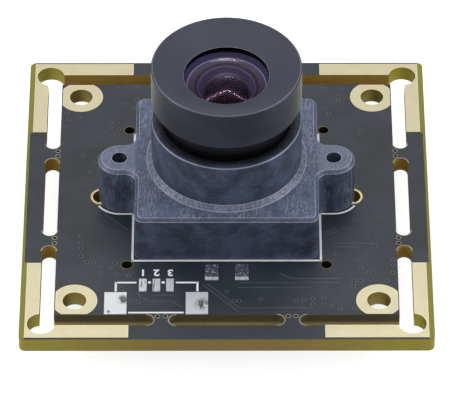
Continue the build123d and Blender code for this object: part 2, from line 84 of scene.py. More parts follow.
class Bench:
    """Modelling steps that the pieces are made with."""

    @staticmethod
    def clear() -> None:
        """Leaves edit mode and deselects everything."""
        active = bpy.context.view_layer.objects.active
        if active is not None and active.mode != "OBJECT":
            bpy.ops.object.mode_set(mode="OBJECT")
        bpy.ops.object.select_all(action="DESELECT")

    @staticmethod
    def hold(piece: Piece) -> None:
        """Selects one piece alone and makes it active."""
        Bench.clear()
        piece.select_set(True)
        bpy.context.view_layer.objects.active = piece

    @staticmethod
    def settle(piece: Piece) -> None:
        """Puts the piece's place, turn and scale into its mesh."""
        Bench.hold(piece)
        bpy.ops.object.transform_apply(location=True, rotation=True, scale=True)

    @staticmethod
    def open(piece: Piece) -> None:
        """Takes a piece into edit mode with all of it selected."""
        Bench.hold(piece)
        bpy.ops.object.mode_set(mode="EDIT")
        bpy.ops.mesh.select_mode(type="FACE")
        bpy.ops.mesh.select_all(action="SELECT")

    @staticmethod
    def close(piece: Piece, fill: bool = True) -> None:
        """Merges doubles, turns the faces outwards and leaves edit mode.

        Args:
            piece: The piece in edit mode.
            fill: Whether open ends are closed with a face.
        """
        bpy.ops.mesh.select_all(action="SELECT")
        bpy.ops.mesh.remove_doubles(threshold=MERGE_WITHIN)
        if fill:
            bpy.ops.mesh.fill_holes(sides=0)
            bpy.ops.mesh.select_all(action="SELECT")
        bpy.ops.mesh.normals_make_consistent(inside=False)
        bpy.ops.object.mode_set(mode="OBJECT")
        Bench.hold(piece)

    @staticmethod
    def pick(piece: Piece, test: Callable[[Vector, Vector], bool]) -> None:
        """Selects the faces that pass a test.

        Args:
            piece: The piece in edit mode.
            test: Gets a face's centre in millimetres and its normal, and tells whether to select it.
        """
        bpy.ops.mesh.select_all(action="DESELECT")
        mesh = bmesh.from_edit_mesh(piece.data)
        for face in mesh.faces:
            if test(face.calc_center_median() / MM, face.normal):
                face.select_set(True)
        mesh.select_flush_mode()
        bmesh.update_edit_mesh(piece.data)

    @staticmethod
    def pull(height: float) -> None:
        """Extrudes what is selected along Z."""
        bpy.ops.mesh.extrude_region_move(TRANSFORM_OT_translate={"value": (0.0, 0.0, height * MM)})

    @staticmethod
    def bar(start: Point, end: Point, width: float, base: float, height: float) -> Piece:
        """Makes a straight flat strip.

        Args:
            start: Middle of one end.
            end: Middle of the other end.
            width: Width across the line.
            base: Height of the face that it lies on.
            height: Rise from the base, negative on the back.

        Returns:
            The strip.
        """
        Bench.clear()
        run = Vector(end) - Vector(start)
        middle = (Vector(end) + Vector(start)) / 2
        place = (middle.x * MM, middle.y * MM, base * MM)
        turn = (0, 0, math.atan2(run.y, run.x))
        bpy.ops.mesh.primitive_plane_add(size=1.0, location=place, rotation=turn)
        strip = bpy.context.object
        strip.scale = (run.length * MM, width * MM, 1.0)
        Bench.settle(strip)
        Bench.open(strip)
        Bench.pull(height)
        Bench.close(strip)
        return strip

    @staticmethod
    def blank(centre: Point, radius: float, base: float, sides: int) -> Piece:
        """Makes a round flat face and takes it into edit mode, selected.

        Args:
            centre: Its middle.
            radius: Its radius.
            base: Its height.
            sides: Corners of its outline.

        Returns:
            The face.
        """
        Bench.clear()
        place = (centre[0] * MM, centre[1] * MM, base * MM)
        bpy.ops.mesh.primitive_circle_add(
            vertices=sides, radius=radius * MM, fill_type="NGON", location=place)
        blank = bpy.context.object
        Bench.settle(blank)
        Bench.open(blank)
        return blank

    @staticmethod
    def disc(centre: Point, radius: float, base: float, height: float, sides: int) -> Piece:
        """Makes a flat disc that lies on a face.

        Args:
            centre: Its middle.
            radius: Its radius.
            base: Height of the face that it lies on.
            height: Rise from the base, negative on the back.
            sides: Corners of its outline.

        Returns:
            The disc.
        """
        disc = Bench.blank(centre, radius, base, sides)
        Bench.pull(height)
        Bench.close(disc)
        return disc

    @staticmethod
    def washer(outer: float, inner: float, base: float, height: float, sides: int) -> Piece:
        """Makes a flat ring that lies on a face, round the origin.

        Args:
            outer: Its outer radius.
            inner: Its inner radius.
            base: Height of the face that it lies on.
            height: Rise from the base, negative on the back.
            sides: Corners of its outline.

        Returns:
            The ring.
        """
        ring = Bench.blank((0.0, 0.0), outer, base, sides)
        bpy.ops.mesh.inset(thickness=(outer - inner) * MM, depth=0.0)
        bpy.ops.mesh.delete(type="FACE")
        bpy.ops.mesh.select_all(action="SELECT")
        Bench.pull(height)
        Bench.close(ring, fill=False)
        return ring

    @staticmethod
    def spun(outline: Sequence[Point], steps: int, centre: Point = (0.0, 0.0), start: float = 0.0,
             sweep: float = FULL_TURN) -> Piece:
        """Turns a closed outline about a vertical line.

        Args:
            outline: Corners as (radius, height).
            steps: Sections round the turn.
            centre: Place of the line.
            start: Angle of the outline's plane, in degrees.
            sweep: Angle that it is turned through, in degrees. A full turn starts at 0.

        Returns:
            The turned piece.
        """
        Bench.clear()
        bpy.ops.mesh.primitive_circle_add(
            vertices=len(outline), radius=MM, fill_type="NGON", location=(0, 0, 0))
        piece = bpy.context.object
        turn = math.radians(start)
        for vertex, (radius, height) in zip(piece.data.vertices, outline):
            x, y = centre[0] + radius * math.cos(turn), centre[1] + radius * math.sin(turn)
            vertex.co = Vector((x * MM, y * MM, height * MM))
        Bench.open(piece)
        middle = (centre[0] * MM, centre[1] * MM, 0.0)
        bpy.ops.mesh.spin(steps=steps, angle=-math.radians(sweep), center=middle, axis=(0.0, 0.0, 1.0))
        if sweep >= FULL_TURN:
            Bench.drop_section(piece)
        Bench.close(piece)
        return piece

    @staticmethod
    def drop_section(piece: Piece) -> None:
        """Deletes the flat section that a full turn leaves inside the piece, in the plane of X and Z."""
        bpy.ops.mesh.select_all(action="SELECT")
        bpy.ops.mesh.remove_doubles(threshold=MERGE_WITHIN)
        Bench.pick(piece, lambda centre, normal: abs(normal.y) > 0.999 and abs(centre.y) < 0.001)
        bpy.ops.mesh.delete(type="FACE")

    @staticmethod
    def arc(centre: Point, radius: float, width: float, start: float, sweep: float, base: float,
            height: float) -> Piece:
        """Makes a flat strip along an arc, with a section about every seven degrees.

        Args:
            centre: Centre of the arc.
            radius: Radius to the strip's middle.
            width: Width of the strip.
            start: First angle, in degrees.
            sweep: Angle covered, in degrees.
            base: Height of the face that it lies on.
            height: Rise from the base, negative on the back.

        Returns:
            The strip.
        """
        inner, outer, top = radius - width / 2, radius + width / 2, base + height
        corners = [(inner, base), (outer, base), (outer, top), (inner, top)]
        return Bench.spun(corners, max(6, int(abs(sweep) / 7)), centre, start, sweep)

    @staticmethod
    def copies(pattern: Piece, places: Iterable[Triple]) -> list[Piece]:
        """Copies a piece modelled at the origin, each copy with its own mesh.

        Args:
            pattern: The piece, which is removed afterwards.
            places: Place and turn of each copy, as x, y and degrees about Z.

        Returns:
            The copies.
        """
        made = []
        for x, y, degrees in places:
            move = Matrix.Translation((x * MM, y * MM, 0.0))
            turn = Matrix.Rotation(math.radians(degrees), 4, "Z")
            copy = pattern.copy()
            copy.data = pattern.data.copy()
            copy.data.transform(move @ turn)
            bpy.context.collection.objects.link(copy)
            made.append(copy)
        bpy.data.objects.remove(pattern)
        return made

    @staticmethod
    def join(pieces: Sequence[Piece]) -> Piece:
        """Joins pieces of one finish into one object, and gives it."""
        Bench.clear()
        for piece in pieces:
            piece.select_set(True)
        bpy.context.view_layer.objects.active = pieces[0]
        if len(pieces) > 1:
            bpy.ops.object.join()
        return bpy.context.view_layer.objects.active

    @staticmethod
    def release(piece: Piece, name: str, body: Body, finish: "Finish", slot: str,
                smooth: float = 0.0) -> None:
        """Names, dresses and hands over a finished piece.

        Args:
            piece: The finished mesh, with its place in it.
            name: Name of the piece.
            body: Body that it rides on.
            finish: Its finish.
            slot: The record's material slot of the piece, which is not used.
            smooth: Angle in degrees under which edges are shaded smooth, or 0 for flat faces.
        """
        piece.name = name
        piece.data.name = name
        if smooth:
            Bench.hold(piece)
            bpy.ops.object.shade_smooth_by_angle(angle=math.radians(smooth))
        piece.data.materials.clear()
        piece.data.materials.append(finish.material())
        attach(piece, body.value)
        log.info("made %s: %d faces", name, len(piece.data.polygons))


def dress(finishes: dict[str, "Finish"]) -> None:
    """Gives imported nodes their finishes.

    Args:
        finishes: The finish of each node, by the node's name.
    """
    for node, finish in finishes.items():
        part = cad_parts[node]
        material = finish.material()
        if not part.material_slots:
            part.data.materials.append(material)
        for holder in part.material_slots:
            holder.material = material
        log.info("dressed %s with %s", node, finish.name)


# Shader graphs


@dataclass(frozen=True)
class Spots:
    """A noise cut down to a mask: its grain, where the mask starts and is full, and its stretch."""

    fineness: float
    detail: float
    raggedness: float
    low: float
    high: float
    twist: float = 0.0
    stretch: Triple | None = None
    turn: float = 0.0


@dataclass(frozen=True)
class Layer:
    """A colour that lies over another, and how far it covers it."""

    colour: Colour
    share: float


class Graph:
    """Short way to lay nodes in a material or a node group."""

    def __init__(self, tree: bpy.types.NodeTree) -> None:
        """Takes the tree that the nodes are laid in."""
        self.tree = tree

    def add(self, kind: str, inputs: dict | None = None, **settings: object) -> bpy.types.Node:
        """Adds a node.

        Args:
            kind: Node type, without its ShaderNode prefix.
            inputs: Socket names or numbers with a value or a socket to link.
            settings: Attributes of the node.

        Returns:
            The node.
        """
        node = self.tree.nodes.new("ShaderNode" + kind)
        for key, value in settings.items():
            setattr(node, key, value)
        for key, value in (inputs or {}).items():
            self.feed(node.inputs[key], value)
        return node

    def feed(self, socket: Socket, value: object) -> None:
        """Links a socket, or sets its value."""
        if isinstance(value, bpy.types.NodeSocket):
            self.tree.links.new(value, socket)
        elif isinstance(value, tuple) and len(value) == 3 and socket.type == "RGBA":
            socket.default_value = (*value, 1.0)
        else:
            socket.default_value = value

    def math(self, operation: str, first: object, second: object = 0.0, third: object = 0.0) -> Socket:
        """Gives the result of a Math node."""
        return self.add("Math", {0: first, 1: second, 2: third}, operation=operation).outputs[0]

    def times(self, first: object, *others: object) -> Socket:
        """Gives the product of two or more values."""
        for other in others:
            first = self.math("MULTIPLY", first, other)
        return first

    def most(self, first: object, *others: object) -> Socket:
        """Gives the greatest of two or more values."""
        for other in others:
            first = self.math("MAXIMUM", first, other)
        return first

    def scaled(self, value: object, gain: object, start: object) -> Socket:
        """Gives a value times a gain, plus a start."""
        return self.math("MULTIPLY_ADD", value, gain, start)

    def above(self, value: object, limit: object) -> Socket:
        """Gives 1 where a value is above a limit, and 0 elsewhere."""
        return self.math("GREATER_THAN", value, limit)

    def below(self, value: object, limit: object) -> Socket:
        """Gives 1 where a value is below a limit, and 0 elsewhere."""
        return self.math("LESS_THAN", value, limit)

    def radius(self, x: Socket, y: Socket) -> Socket:
        """Gives the distance from the vertical line where x and y are 0."""
        return self.math("SQRT", self.math("ADD", self.times(x, x), self.times(y, y)))

    def smooth(self, value: object, low: object, high: object) -> Socket:
        """Gives a smooth step from 0 at low to 1 at high."""
        limits = {"Value": value, "From Min": low, "From Max": high}
        return self.add("MapRange", limits, interpolation_type="SMOOTHSTEP").outputs["Result"]

    def between(self, factor: object, first: object, second: object) -> Socket:
        """Gives the mix of two numbers."""
        return self.add("Mix", {0: factor, 2: first, 3: second}).outputs[0]

    def mix(self, factor: object, first: object, second: object) -> Socket:
        """Gives the mix of two colours."""
        node = self.add("Mix", data_type="RGBA")
        for number, value in ((0, factor), (6, first), (7, second)):
            self.feed(node.inputs[number], value)
        return node.outputs[2]

    def over(self, shade: object, mask: object, layer: Layer) -> Socket:
        """Gives a colour with a layer over it where the mask is."""
        return self.mix(self.times(mask, layer.share), shade, layer.colour)

    def place(self) -> Socket:
        """Gives object coordinates in millimetres."""
        here = self.add("TexCoord").outputs["Object"]
        return self.add("VectorMath", {0: here, "Scale": 1.0 / MM}, operation="SCALE").outputs[0]

    def axes(self, vector: object) -> tuple[Socket, ...]:
        """Splits a vector into its three numbers."""
        node = self.add("SeparateXYZ", {0: vector})
        return node.outputs[0], node.outputs[1], node.outputs[2]

    def upward(self) -> Socket:
        """Gives how far a face looks up, from -1 to 1."""
        return self.axes(self.add("NewGeometry").outputs["True Normal"])[2]

    def stretch(self, vector: object, scale: Triple, turn: float = 0.0) -> Socket:
        """Turns coordinates about Z and stretches them."""
        settings = {"Vector": vector, "Scale": scale, "Rotation": (0.0, 0.0, turn)}
        return self.add("Mapping", settings).outputs[0]

    def noise(self, vector: object, scale: object, detail: float, rough: float,
              twist: object = 0.0) -> Socket:
        """Gives a noise value from 0 to 1."""
        settings = {"Vector": vector, "Scale": scale, "Detail": detail, "Roughness": rough}
        return self.add("TexNoise", settings | {"Distortion": twist}).outputs["Fac"]

    def spots(self, vector: object, spots: Spots) -> Socket:
        """Gives a mask of spots.

        Args:
            vector: The coordinates that they lie in.
            spots: Their kind.

        Returns:
            The mask, from 0 to 1.
        """
        if spots.stretch is not None:
            vector = self.stretch(vector, spots.stretch, spots.turn)
        noise = self.noise(vector, spots.fineness, spots.detail, spots.raggedness, spots.twist)
        return self.smooth(noise, spots.low, spots.high)

    def bump(self, height: object, strength: float, distance: float) -> Socket:
        """Gives a bumped normal, with the distance in millimetres."""
        settings = {"Height": height, "Strength": strength, "Distance": distance * MM}
        return self.add("Bump", settings).outputs[0]

    def effect(self, group: "Effect", **inputs: object) -> dict[str, Socket]:
        """Places a shared effect.

        Args:
            group: The effect.
            inputs: Its inputs by name, with underscores for spaces.

        Returns:
            Its outputs by name.
        """
        node = self.tree.nodes.new("ShaderNodeGroup")
        node.node_tree = group.tree()
        for key, value in inputs.items():
            self.feed(node.inputs[key.replace("_", " ")], value)
        return {socket.name: socket for socket in node.outputs}


class Effect:
    """A shader node group that several finishes use, built when it is first placed."""

    name = "effect"
    values: dict[str, float] = {}
    results: tuple[str, ...] = ("Mask",)

    def tree(self) -> bpy.types.NodeTree:
        """Gives the group, building it once."""
        known = bpy.data.node_groups.get(self.name)
        if known is not None:
            return known
        tree = bpy.data.node_groups.new(self.name, "ShaderNodeTree")
        tree.interface.new_socket("Place", in_out="INPUT", socket_type="NodeSocketVector")
        for key, value in self.values.items():
            socket = tree.interface.new_socket(key, in_out="INPUT", socket_type="NodeSocketFloat")
            socket.default_value = value
        for key in self.results:
            tree.interface.new_socket(key, in_out="OUTPUT", socket_type="NodeSocketFloat")
        entry = tree.nodes.new("NodeGroupInput")
        leave = tree.nodes.new("NodeGroupOutput")
        made = self.lay(Graph(tree), {socket.name: socket for socket in entry.outputs})
        for key, value in made.items():
            tree.links.new(value, leave.inputs[key])
        return tree

    def lay(self, graph: Graph, given: dict[str, Socket]) -> dict[str, Socket]:
        """Lays the group's nodes.

        Args:
            graph: The group's graph.
            given: The group's inputs by name.

        Returns:
            The sockets that feed its outputs, by name.
        """
        raise NotImplementedError


class Grain(Effect):
    """Fine unevenness that every moulded, cast or plated surface has."""

    name = "surface grain"
    values = {"Size": 0.1, "Patches": 2.0}
    results = ("Fine", "Broad", "Height")
    broad_height = 0.3

    def lay(self, graph: Graph, given: dict[str, Socket]) -> dict[str, Socket]:
        """Lays a fine and a broad noise and their sum as a height."""
        sizes = [graph.math("DIVIDE", 1.0, given[size]) for size in ("Size", "Patches")]
        fine = graph.noise(given["Place"], sizes[0], detail=4.0, rough=0.6)
        broad = graph.noise(given["Place"], sizes[1], detail=3.0, rough=0.5, twist=0.4)
        height = graph.math("ADD", fine, graph.times(broad, self.broad_height))
        return {"Fine": fine, "Broad": broad, "Height": height}


class BareEdges(Effect):
    """Worn edges: a rounded normal that leaves the flat one marks them, and noise breaks them up."""

    name = "bare edges"
    values = {"Width": 0.12, "Breaks": 0.6, "Gain": 1.0}
    leaving = (0.004, 0.06)
    unbroken = (0.24, 0.42)

    def lay(self, graph: Graph, given: dict[str, Socket]) -> dict[str, Socket]:
        """Lays the rounded normal, its difference and the breaks."""
        rounded = graph.add("Bevel", {"Radius": graph.times(given["Width"], MM)}, samples=6).outputs[0]
        flat = graph.add("NewGeometry").outputs["True Normal"]
        agree = graph.add("VectorMath", {0: rounded, 1: flat}, operation="DOT_PRODUCT").outputs["Value"]
        edge = graph.smooth(graph.math("SUBTRACT", 1.0, agree), *self.leaving)
        size = graph.math("DIVIDE", 1.0, given["Breaks"])
        broken = graph.noise(given["Place"], size, detail=4.0, rough=0.6)
        return {"Mask": graph.times(edge, graph.smooth(broken, *self.unbroken), given["Gain"])}


class Streaks(Effect):
    """Fine curved scratches in a few directions, as tumbling or brushing leaves them."""

    name = "curved streaks"
    values = {"Fineness": 6.0, "Swirl": 1.2}
    directions = ((0.25, (0.22, 1.6, 1.6)), (1.25, (0.3, 1.9, 1.2)), (-0.7, (0.25, 1.5, 1.9)))
    peak = (0.53, 0.72)
    patches = Spots(0.55, 2.0, 0.5, 0.3, 0.62)

    def lay(self, graph: Graph, given: dict[str, Socket]) -> dict[str, Socket]:
        """Lays stretched noises in three directions and keeps their peaks."""
        peaks = []
        for turn, scale in self.directions:
            run = graph.stretch(given["Place"], scale, turn)
            line = graph.noise(run, given["Fineness"], detail=2.0, rough=0.6, twist=given["Swirl"])
            peaks.append(graph.smooth(line, *self.peak))
        return {"Mask": graph.times(graph.most(*peaks), graph.spots(given["Place"], self.patches))}


class RoundWalls(Effect):
    """Marks what lies within a radius of the four mirrored places of a hole pattern."""

    name = "four round walls"
    values = {"Half Spacing": 14.0, "Radius": 1.2}

    def lay(self, graph: Graph, given: dict[str, Socket]) -> dict[str, Socket]:
        """Lays the distance from the mirrored hole."""
        x, y, _ = graph.axes(given["Place"])
        across = graph.math("SUBTRACT", graph.math("ABSOLUTE", x), given["Half Spacing"])
        along = graph.math("SUBTRACT", graph.math("ABSOLUTE", y), given["Half Spacing"])
        return {"Mask": graph.below(graph.radius(across, along), given["Radius"])}


GRAIN = Grain()
BARE_EDGES = BareEdges()
STREAKS = Streaks()
ROUND_WALLS = RoundWalls()


# Finishes


GRAIN_SPREAD = 0.2  # What a fine grain adds to the roughness between its lowest and highest places
PATCH_FADE = (0.3, 0.7)  # Where a broad grain turns from one colour to the other


def tint(colour: Colour, gain: float, lift: float = 0.0) -> Colour:
    """Gives a colour made lighter or darker, no part of it over 1."""
    return tuple(min(1.0, gain * part + lift) for part in colour)


@dataclass(frozen=True)
class Finish:
    """A surface finish. Each kind lays its own nodes."""

    name: str

    def material(self) -> bpy.types.Material:
        """Gives the material, building it once."""
        known = bpy.data.materials.get(self.name)
        if known is not None:
            return known
        material = bpy.data.materials.new(self.name)
        material.use_nodes = True
        material.node_tree.nodes.clear()
        graph = Graph(material.node_tree)
        shader = graph.add("BsdfPrincipled", self.lay(graph))
        graph.add("OutputMaterial", {"Surface": shader.outputs[0]})
        return material

    def lay(self, graph: Graph) -> dict[str, object]:
        """Lays the finish's nodes.

        Args:
            graph: The material's graph.

        Returns:
            What each input of its Principled shader gets, by the input's name.
        """
        raise NotImplementedError

    @staticmethod
    def skin(graph: Graph, grain: dict[str, Socket], roughness: float, relief: Point) -> dict[str, Socket]:
        """Gives the roughness and the normal that a grain makes.

        Args:
            graph: The material's graph.
            grain: The grain.
            roughness: Mean roughness.
            relief: Strength of the bumps, and their height.

        Returns:
            What the shader's two inputs get, by name.
        """
        gloss = graph.scaled(grain["Fine"], GRAIN_SPREAD, roughness - GRAIN_SPREAD / 2)
        return {"Roughness": gloss, "Normal": graph.bump(grain["Height"], *relief)}


@dataclass(frozen=True)
class MaskedLaminate(Finish):
    """Dark solder mask on both faces, bare laminate at the rims and plated hole walls."""

    mask: Colour = (0.019, 0.025, 0.036)
    mask_light: Colour = (0.033, 0.042, 0.056)
    mask_grain: Layer = Layer((0.020, 0.022, 0.030), 0.25)
    strip: Colour = (0.330, 0.310, 0.045)
    strip_grain: Colour = (0.200, 0.190, 0.030)
    edge_middle: Colour = (0.330, 0.235, 0.065)
    edge_corner: Colour = (0.440, 0.370, 0.050)
    edge_chip: Layer = Layer((0.200, 0.145, 0.045), 0.45)
    edge_lip: Layer = Layer((0.100, 0.085, 0.030), 0.55)
    slot_wall: Colour = (0.115, 0.092, 0.044)
    slot_foot: Colour = (0.460, 0.370, 0.130)
    slot_chip: Layer = Layer((0.120, 0.090, 0.030), 0.5)
    rear_slot_wall: Colour = (0.420, 0.270, 0.035)
    plating: Colour = (0.600, 0.470, 0.160)
    corner_plating: Colour = (0.620, 0.540, 0.090)
    locating_wall: Colour = (0.160, 0.140, 0.060)
    chips: Spots = Spots(2.4, 4.0, 0.7, 0.48, 0.7, stretch=(0.5, 0.5, 3.5))
    chip_depth: float = 2.0
    mask_gloss: Point = (0.12, 0.34)
    bare_roughness: float = 0.75
    plated_roughness: float = 0.4
    relief: Point = (0.25, 0.03)
    strip_from: float = 18.74
    strip_wider: float = -0.27
    strip_wider_from: float = 8.9
    outer_wall_from: float = 18.35
    edge_fade: Point = (4.0, 18.5)
    lip_levels: Point = (-1.42, -0.06)
    foot_levels: Point = (-0.75, -1.15)
    front_slot_line: float = -15.0
    hole_patterns: tuple[Point, ...] = ((17.0, 1.36), (14.0, 1.2), (9.25, 0.6))

    def face(self, graph: Graph, rim: Socket, grain: dict[str, Socket]) -> Socket:
        """Gives the colour of the board's two faces.

        Args:
            graph: The material's graph.
            rim: Where the laminate is bare.
            grain: The surface's grain.

        Returns:
            The colour.
        """
        face = graph.mix(graph.smooth(grain["Broad"], *PATCH_FADE), self.mask, self.mask_light)
        face = graph.over(face, grain["Fine"], self.mask_grain)
        return graph.mix(rim, face, graph.mix(grain["Fine"], self.strip, self.strip_grain))

    def cuts(self, graph: Graph, place: Socket, chips: Socket, outer: Socket, wide: Socket) -> Socket:
        """Gives the colour of the cut edges and the slots' walls.

        Args:
            graph: The material's graph.
            place: The coordinates.
            chips: Where fibres are torn out.
            outer: Where the board's outer edge is.
            wide: Distance from the middle, across.

        Returns:
            The colour.
        """
        _, y, z = graph.axes(place)
        cut = graph.mix(graph.smooth(wide, *self.edge_fade), self.edge_middle, self.edge_corner)
        cut = graph.over(cut, chips, self.edge_chip)
        lip = graph.most(graph.above(z, self.lip_levels[1]), graph.below(z, self.lip_levels[0]))
        cut = graph.over(cut, lip, self.edge_lip)
        slot = graph.mix(graph.smooth(z, *self.foot_levels), self.slot_wall, self.slot_foot)
        slot = graph.mix(graph.above(y, self.front_slot_line), slot, self.rear_slot_wall)
        slot = graph.over(slot, chips, self.slot_chip)
        return graph.mix(outer, slot, cut)

    def lay(self, graph: Graph) -> dict[str, object]:
        """Lays the mask, the rim, the walls and their grain."""
        place = graph.place()
        x, y, _ = graph.axes(place)
        wide, deep = graph.math("ABSOLUTE", x), graph.math("ABSOLUTE", y)
        grain = graph.effect(GRAIN, Place=place, Size=0.16, Patches=5.0)
        chips = graph.spots(place, self.chips)
        wall = graph.below(graph.math("ABSOLUTE", graph.upward()), 0.5)
        outer = graph.above(graph.most(wide, deep), self.outer_wall_from)
        bare_from = graph.scaled(graph.above(deep, self.strip_wider_from), self.strip_wider, self.strip_from)
        rim = graph.above(wide, bare_from)
        frame_holes, screw_holes, locating_holes = (
            graph.effect(ROUND_WALLS, Place=place, Half_Spacing=half, Radius=radius)["Mask"]
            for half, radius in self.hole_patterns)
        plated = graph.most(frame_holes, screw_holes, locating_holes)
        side = graph.mix(plated, self.cuts(graph, place, chips, outer, wide), self.plating)
        side = graph.mix(frame_holes, side, self.corner_plating)
        side = graph.mix(locating_holes, side, self.locating_wall)
        metal = graph.times(wall, plated)
        gloss = graph.scaled(grain["Fine"], *self.mask_gloss)
        rough = graph.between(graph.most(wall, rim), gloss, self.bare_roughness)
        weave = graph.math("ADD", grain["Height"], graph.times(chips, wall, self.chip_depth))
        return {
            "Base Color": graph.mix(wall, self.face(graph, rim, grain), side),
            "Roughness": graph.between(metal, rough, self.plated_roughness),
            "Metallic": metal,
            "Normal": graph.bump(weave, *self.relief),
        }


@dataclass(frozen=True)
class CopperUnderMask(Finish):
    """Mask that runs over copper, so it stands up and shines a little more."""

    colour: Colour = (0.072, 0.083, 0.103)
    gloss: Point = (0.15, 0.27)
    relief: Point = (0.2, 0.02)

    def lay(self, graph: Graph) -> dict[str, object]:
        """Lays the mask's colour and its grain."""
        grain = graph.effect(GRAIN, Place=graph.place(), Size=0.12, Patches=2.0)
        return {
            "Base Color": graph.mix(grain["Broad"], self.colour, tint(self.colour, 0.8)),
            "Roughness": graph.scaled(grain["Fine"], *self.gloss),
            "Normal": graph.bump(grain["Height"], *self.relief),
        }


@dataclass(frozen=True)
class Plated(Finish):
    """Thin bright plating with the grain of what is under it."""

    colour: Colour = (0.73, 0.67, 0.445)
    worn: Colour = (0.70, 0.635, 0.425)
    roughness: float = 0.36
    grain_size: float = 0.08
    patches: float = 1.4
    border: float = 0.0
    metallic: float = 0.85
    relief: Point = (0.25, 0.015)

    def lay(self, graph: Graph) -> dict[str, object]:
        """Lays the metal, its patches, its edges and its grain."""
        place = graph.place()
        grain = graph.effect(GRAIN, Place=place, Size=self.grain_size, Patches=self.patches)
        width, gain = 0.05 + self.border, 0.5 + 5.0 * self.border
        edges = graph.effect(BARE_EDGES, Place=place, Width=width, Breaks=0.5, Gain=gain)["Mask"]
        shade = graph.mix(graph.smooth(grain["Broad"], 0.35, 0.7), self.colour, self.worn)
        return {
            "Base Color": graph.mix(edges, shade, tint(self.colour, 1.25)),
            "Metallic": self.metallic,
        } | self.skin(graph, grain, self.roughness, self.relief)


@dataclass(frozen=True)
class FrontPads(Finish):
    """Tin of the front pads: bright anchors, and lamp pads bare and grainy but for their lower end."""

    colour: Colour = (0.80, 0.83, 0.86)
    scuff: Colour = (0.060, 0.065, 0.080)
    grainy: Colour = (0.070, 0.070, 0.110)
    grainy_light: Colour = (0.550, 0.550, 0.640)
    smears: Spots = Spots(1.25, 5.0, 0.75, 0.4, 0.55, 1.0, (1.0, 0.55, 1.0), 0.5)
    stripes: Spots = Spots(1.6, 3.0, 0.7, 0.54, 0.66, stretch=(3.0, 0.5, 1.0))
    grains: Spots = Spots(5.0, 3.0, 0.7, 0.52, 0.66)
    lamp_half_width: float = 2.3
    lamp_bright_end: Point = (-11.05, -10.8)
    signal_front: float = -12.9
    stripe_share: float = 0.75
    metal: Point = (-0.3, 0.35)
    gloss: Point = (0.25, 0.3)
    relief: Point = (0.5, 0.03)
    scuffs: Sequence[Triple] = ((-9.55, -13.9, 0.75), (-2.2, -14.5, 1.05), (-10.9, -15.5, 0.3))

    def lay(self, graph: Graph) -> dict[str, object]:
        """Lays the marks, and the grain of the lamp pads over them."""
        place = graph.place()
        x, y, _ = graph.axes(place)
        grain = graph.effect(GRAIN, Place=place, Size=0.07, Patches=0.5)
        near = 0.0
        for across, along, reach in self.scuffs:
            off = graph.add("VectorMath", {0: place, 1: (across, along, 0.0)}, operation="DISTANCE")
            near = graph.most(near, graph.smooth(off.outputs["Value"], reach, 0.3 * reach))
        signal = graph.above(y, self.signal_front)
        stripes = graph.times(graph.spots(place, self.stripes), signal, self.stripe_share)
        marks = graph.most(graph.times(graph.spots(place, self.smears), near), stripes)
        shade = graph.mix(marks, self.colour, self.scuff)
        lamp = graph.below(graph.math("ABSOLUTE", x), self.lamp_half_width)
        dull = graph.times(lamp, graph.smooth(y, *self.lamp_bright_end))
        grainy = graph.mix(graph.spots(place, self.grains), self.grainy, self.grainy_light)
        return {
            "Base Color": graph.mix(dull, shade, grainy),
            "Metallic": graph.scaled(marks, *self.metal),
            "Roughness": graph.scaled(graph.most(marks, dull), *self.gloss),
            "Normal": graph.bump(grain["Height"], *self.relief),
        }


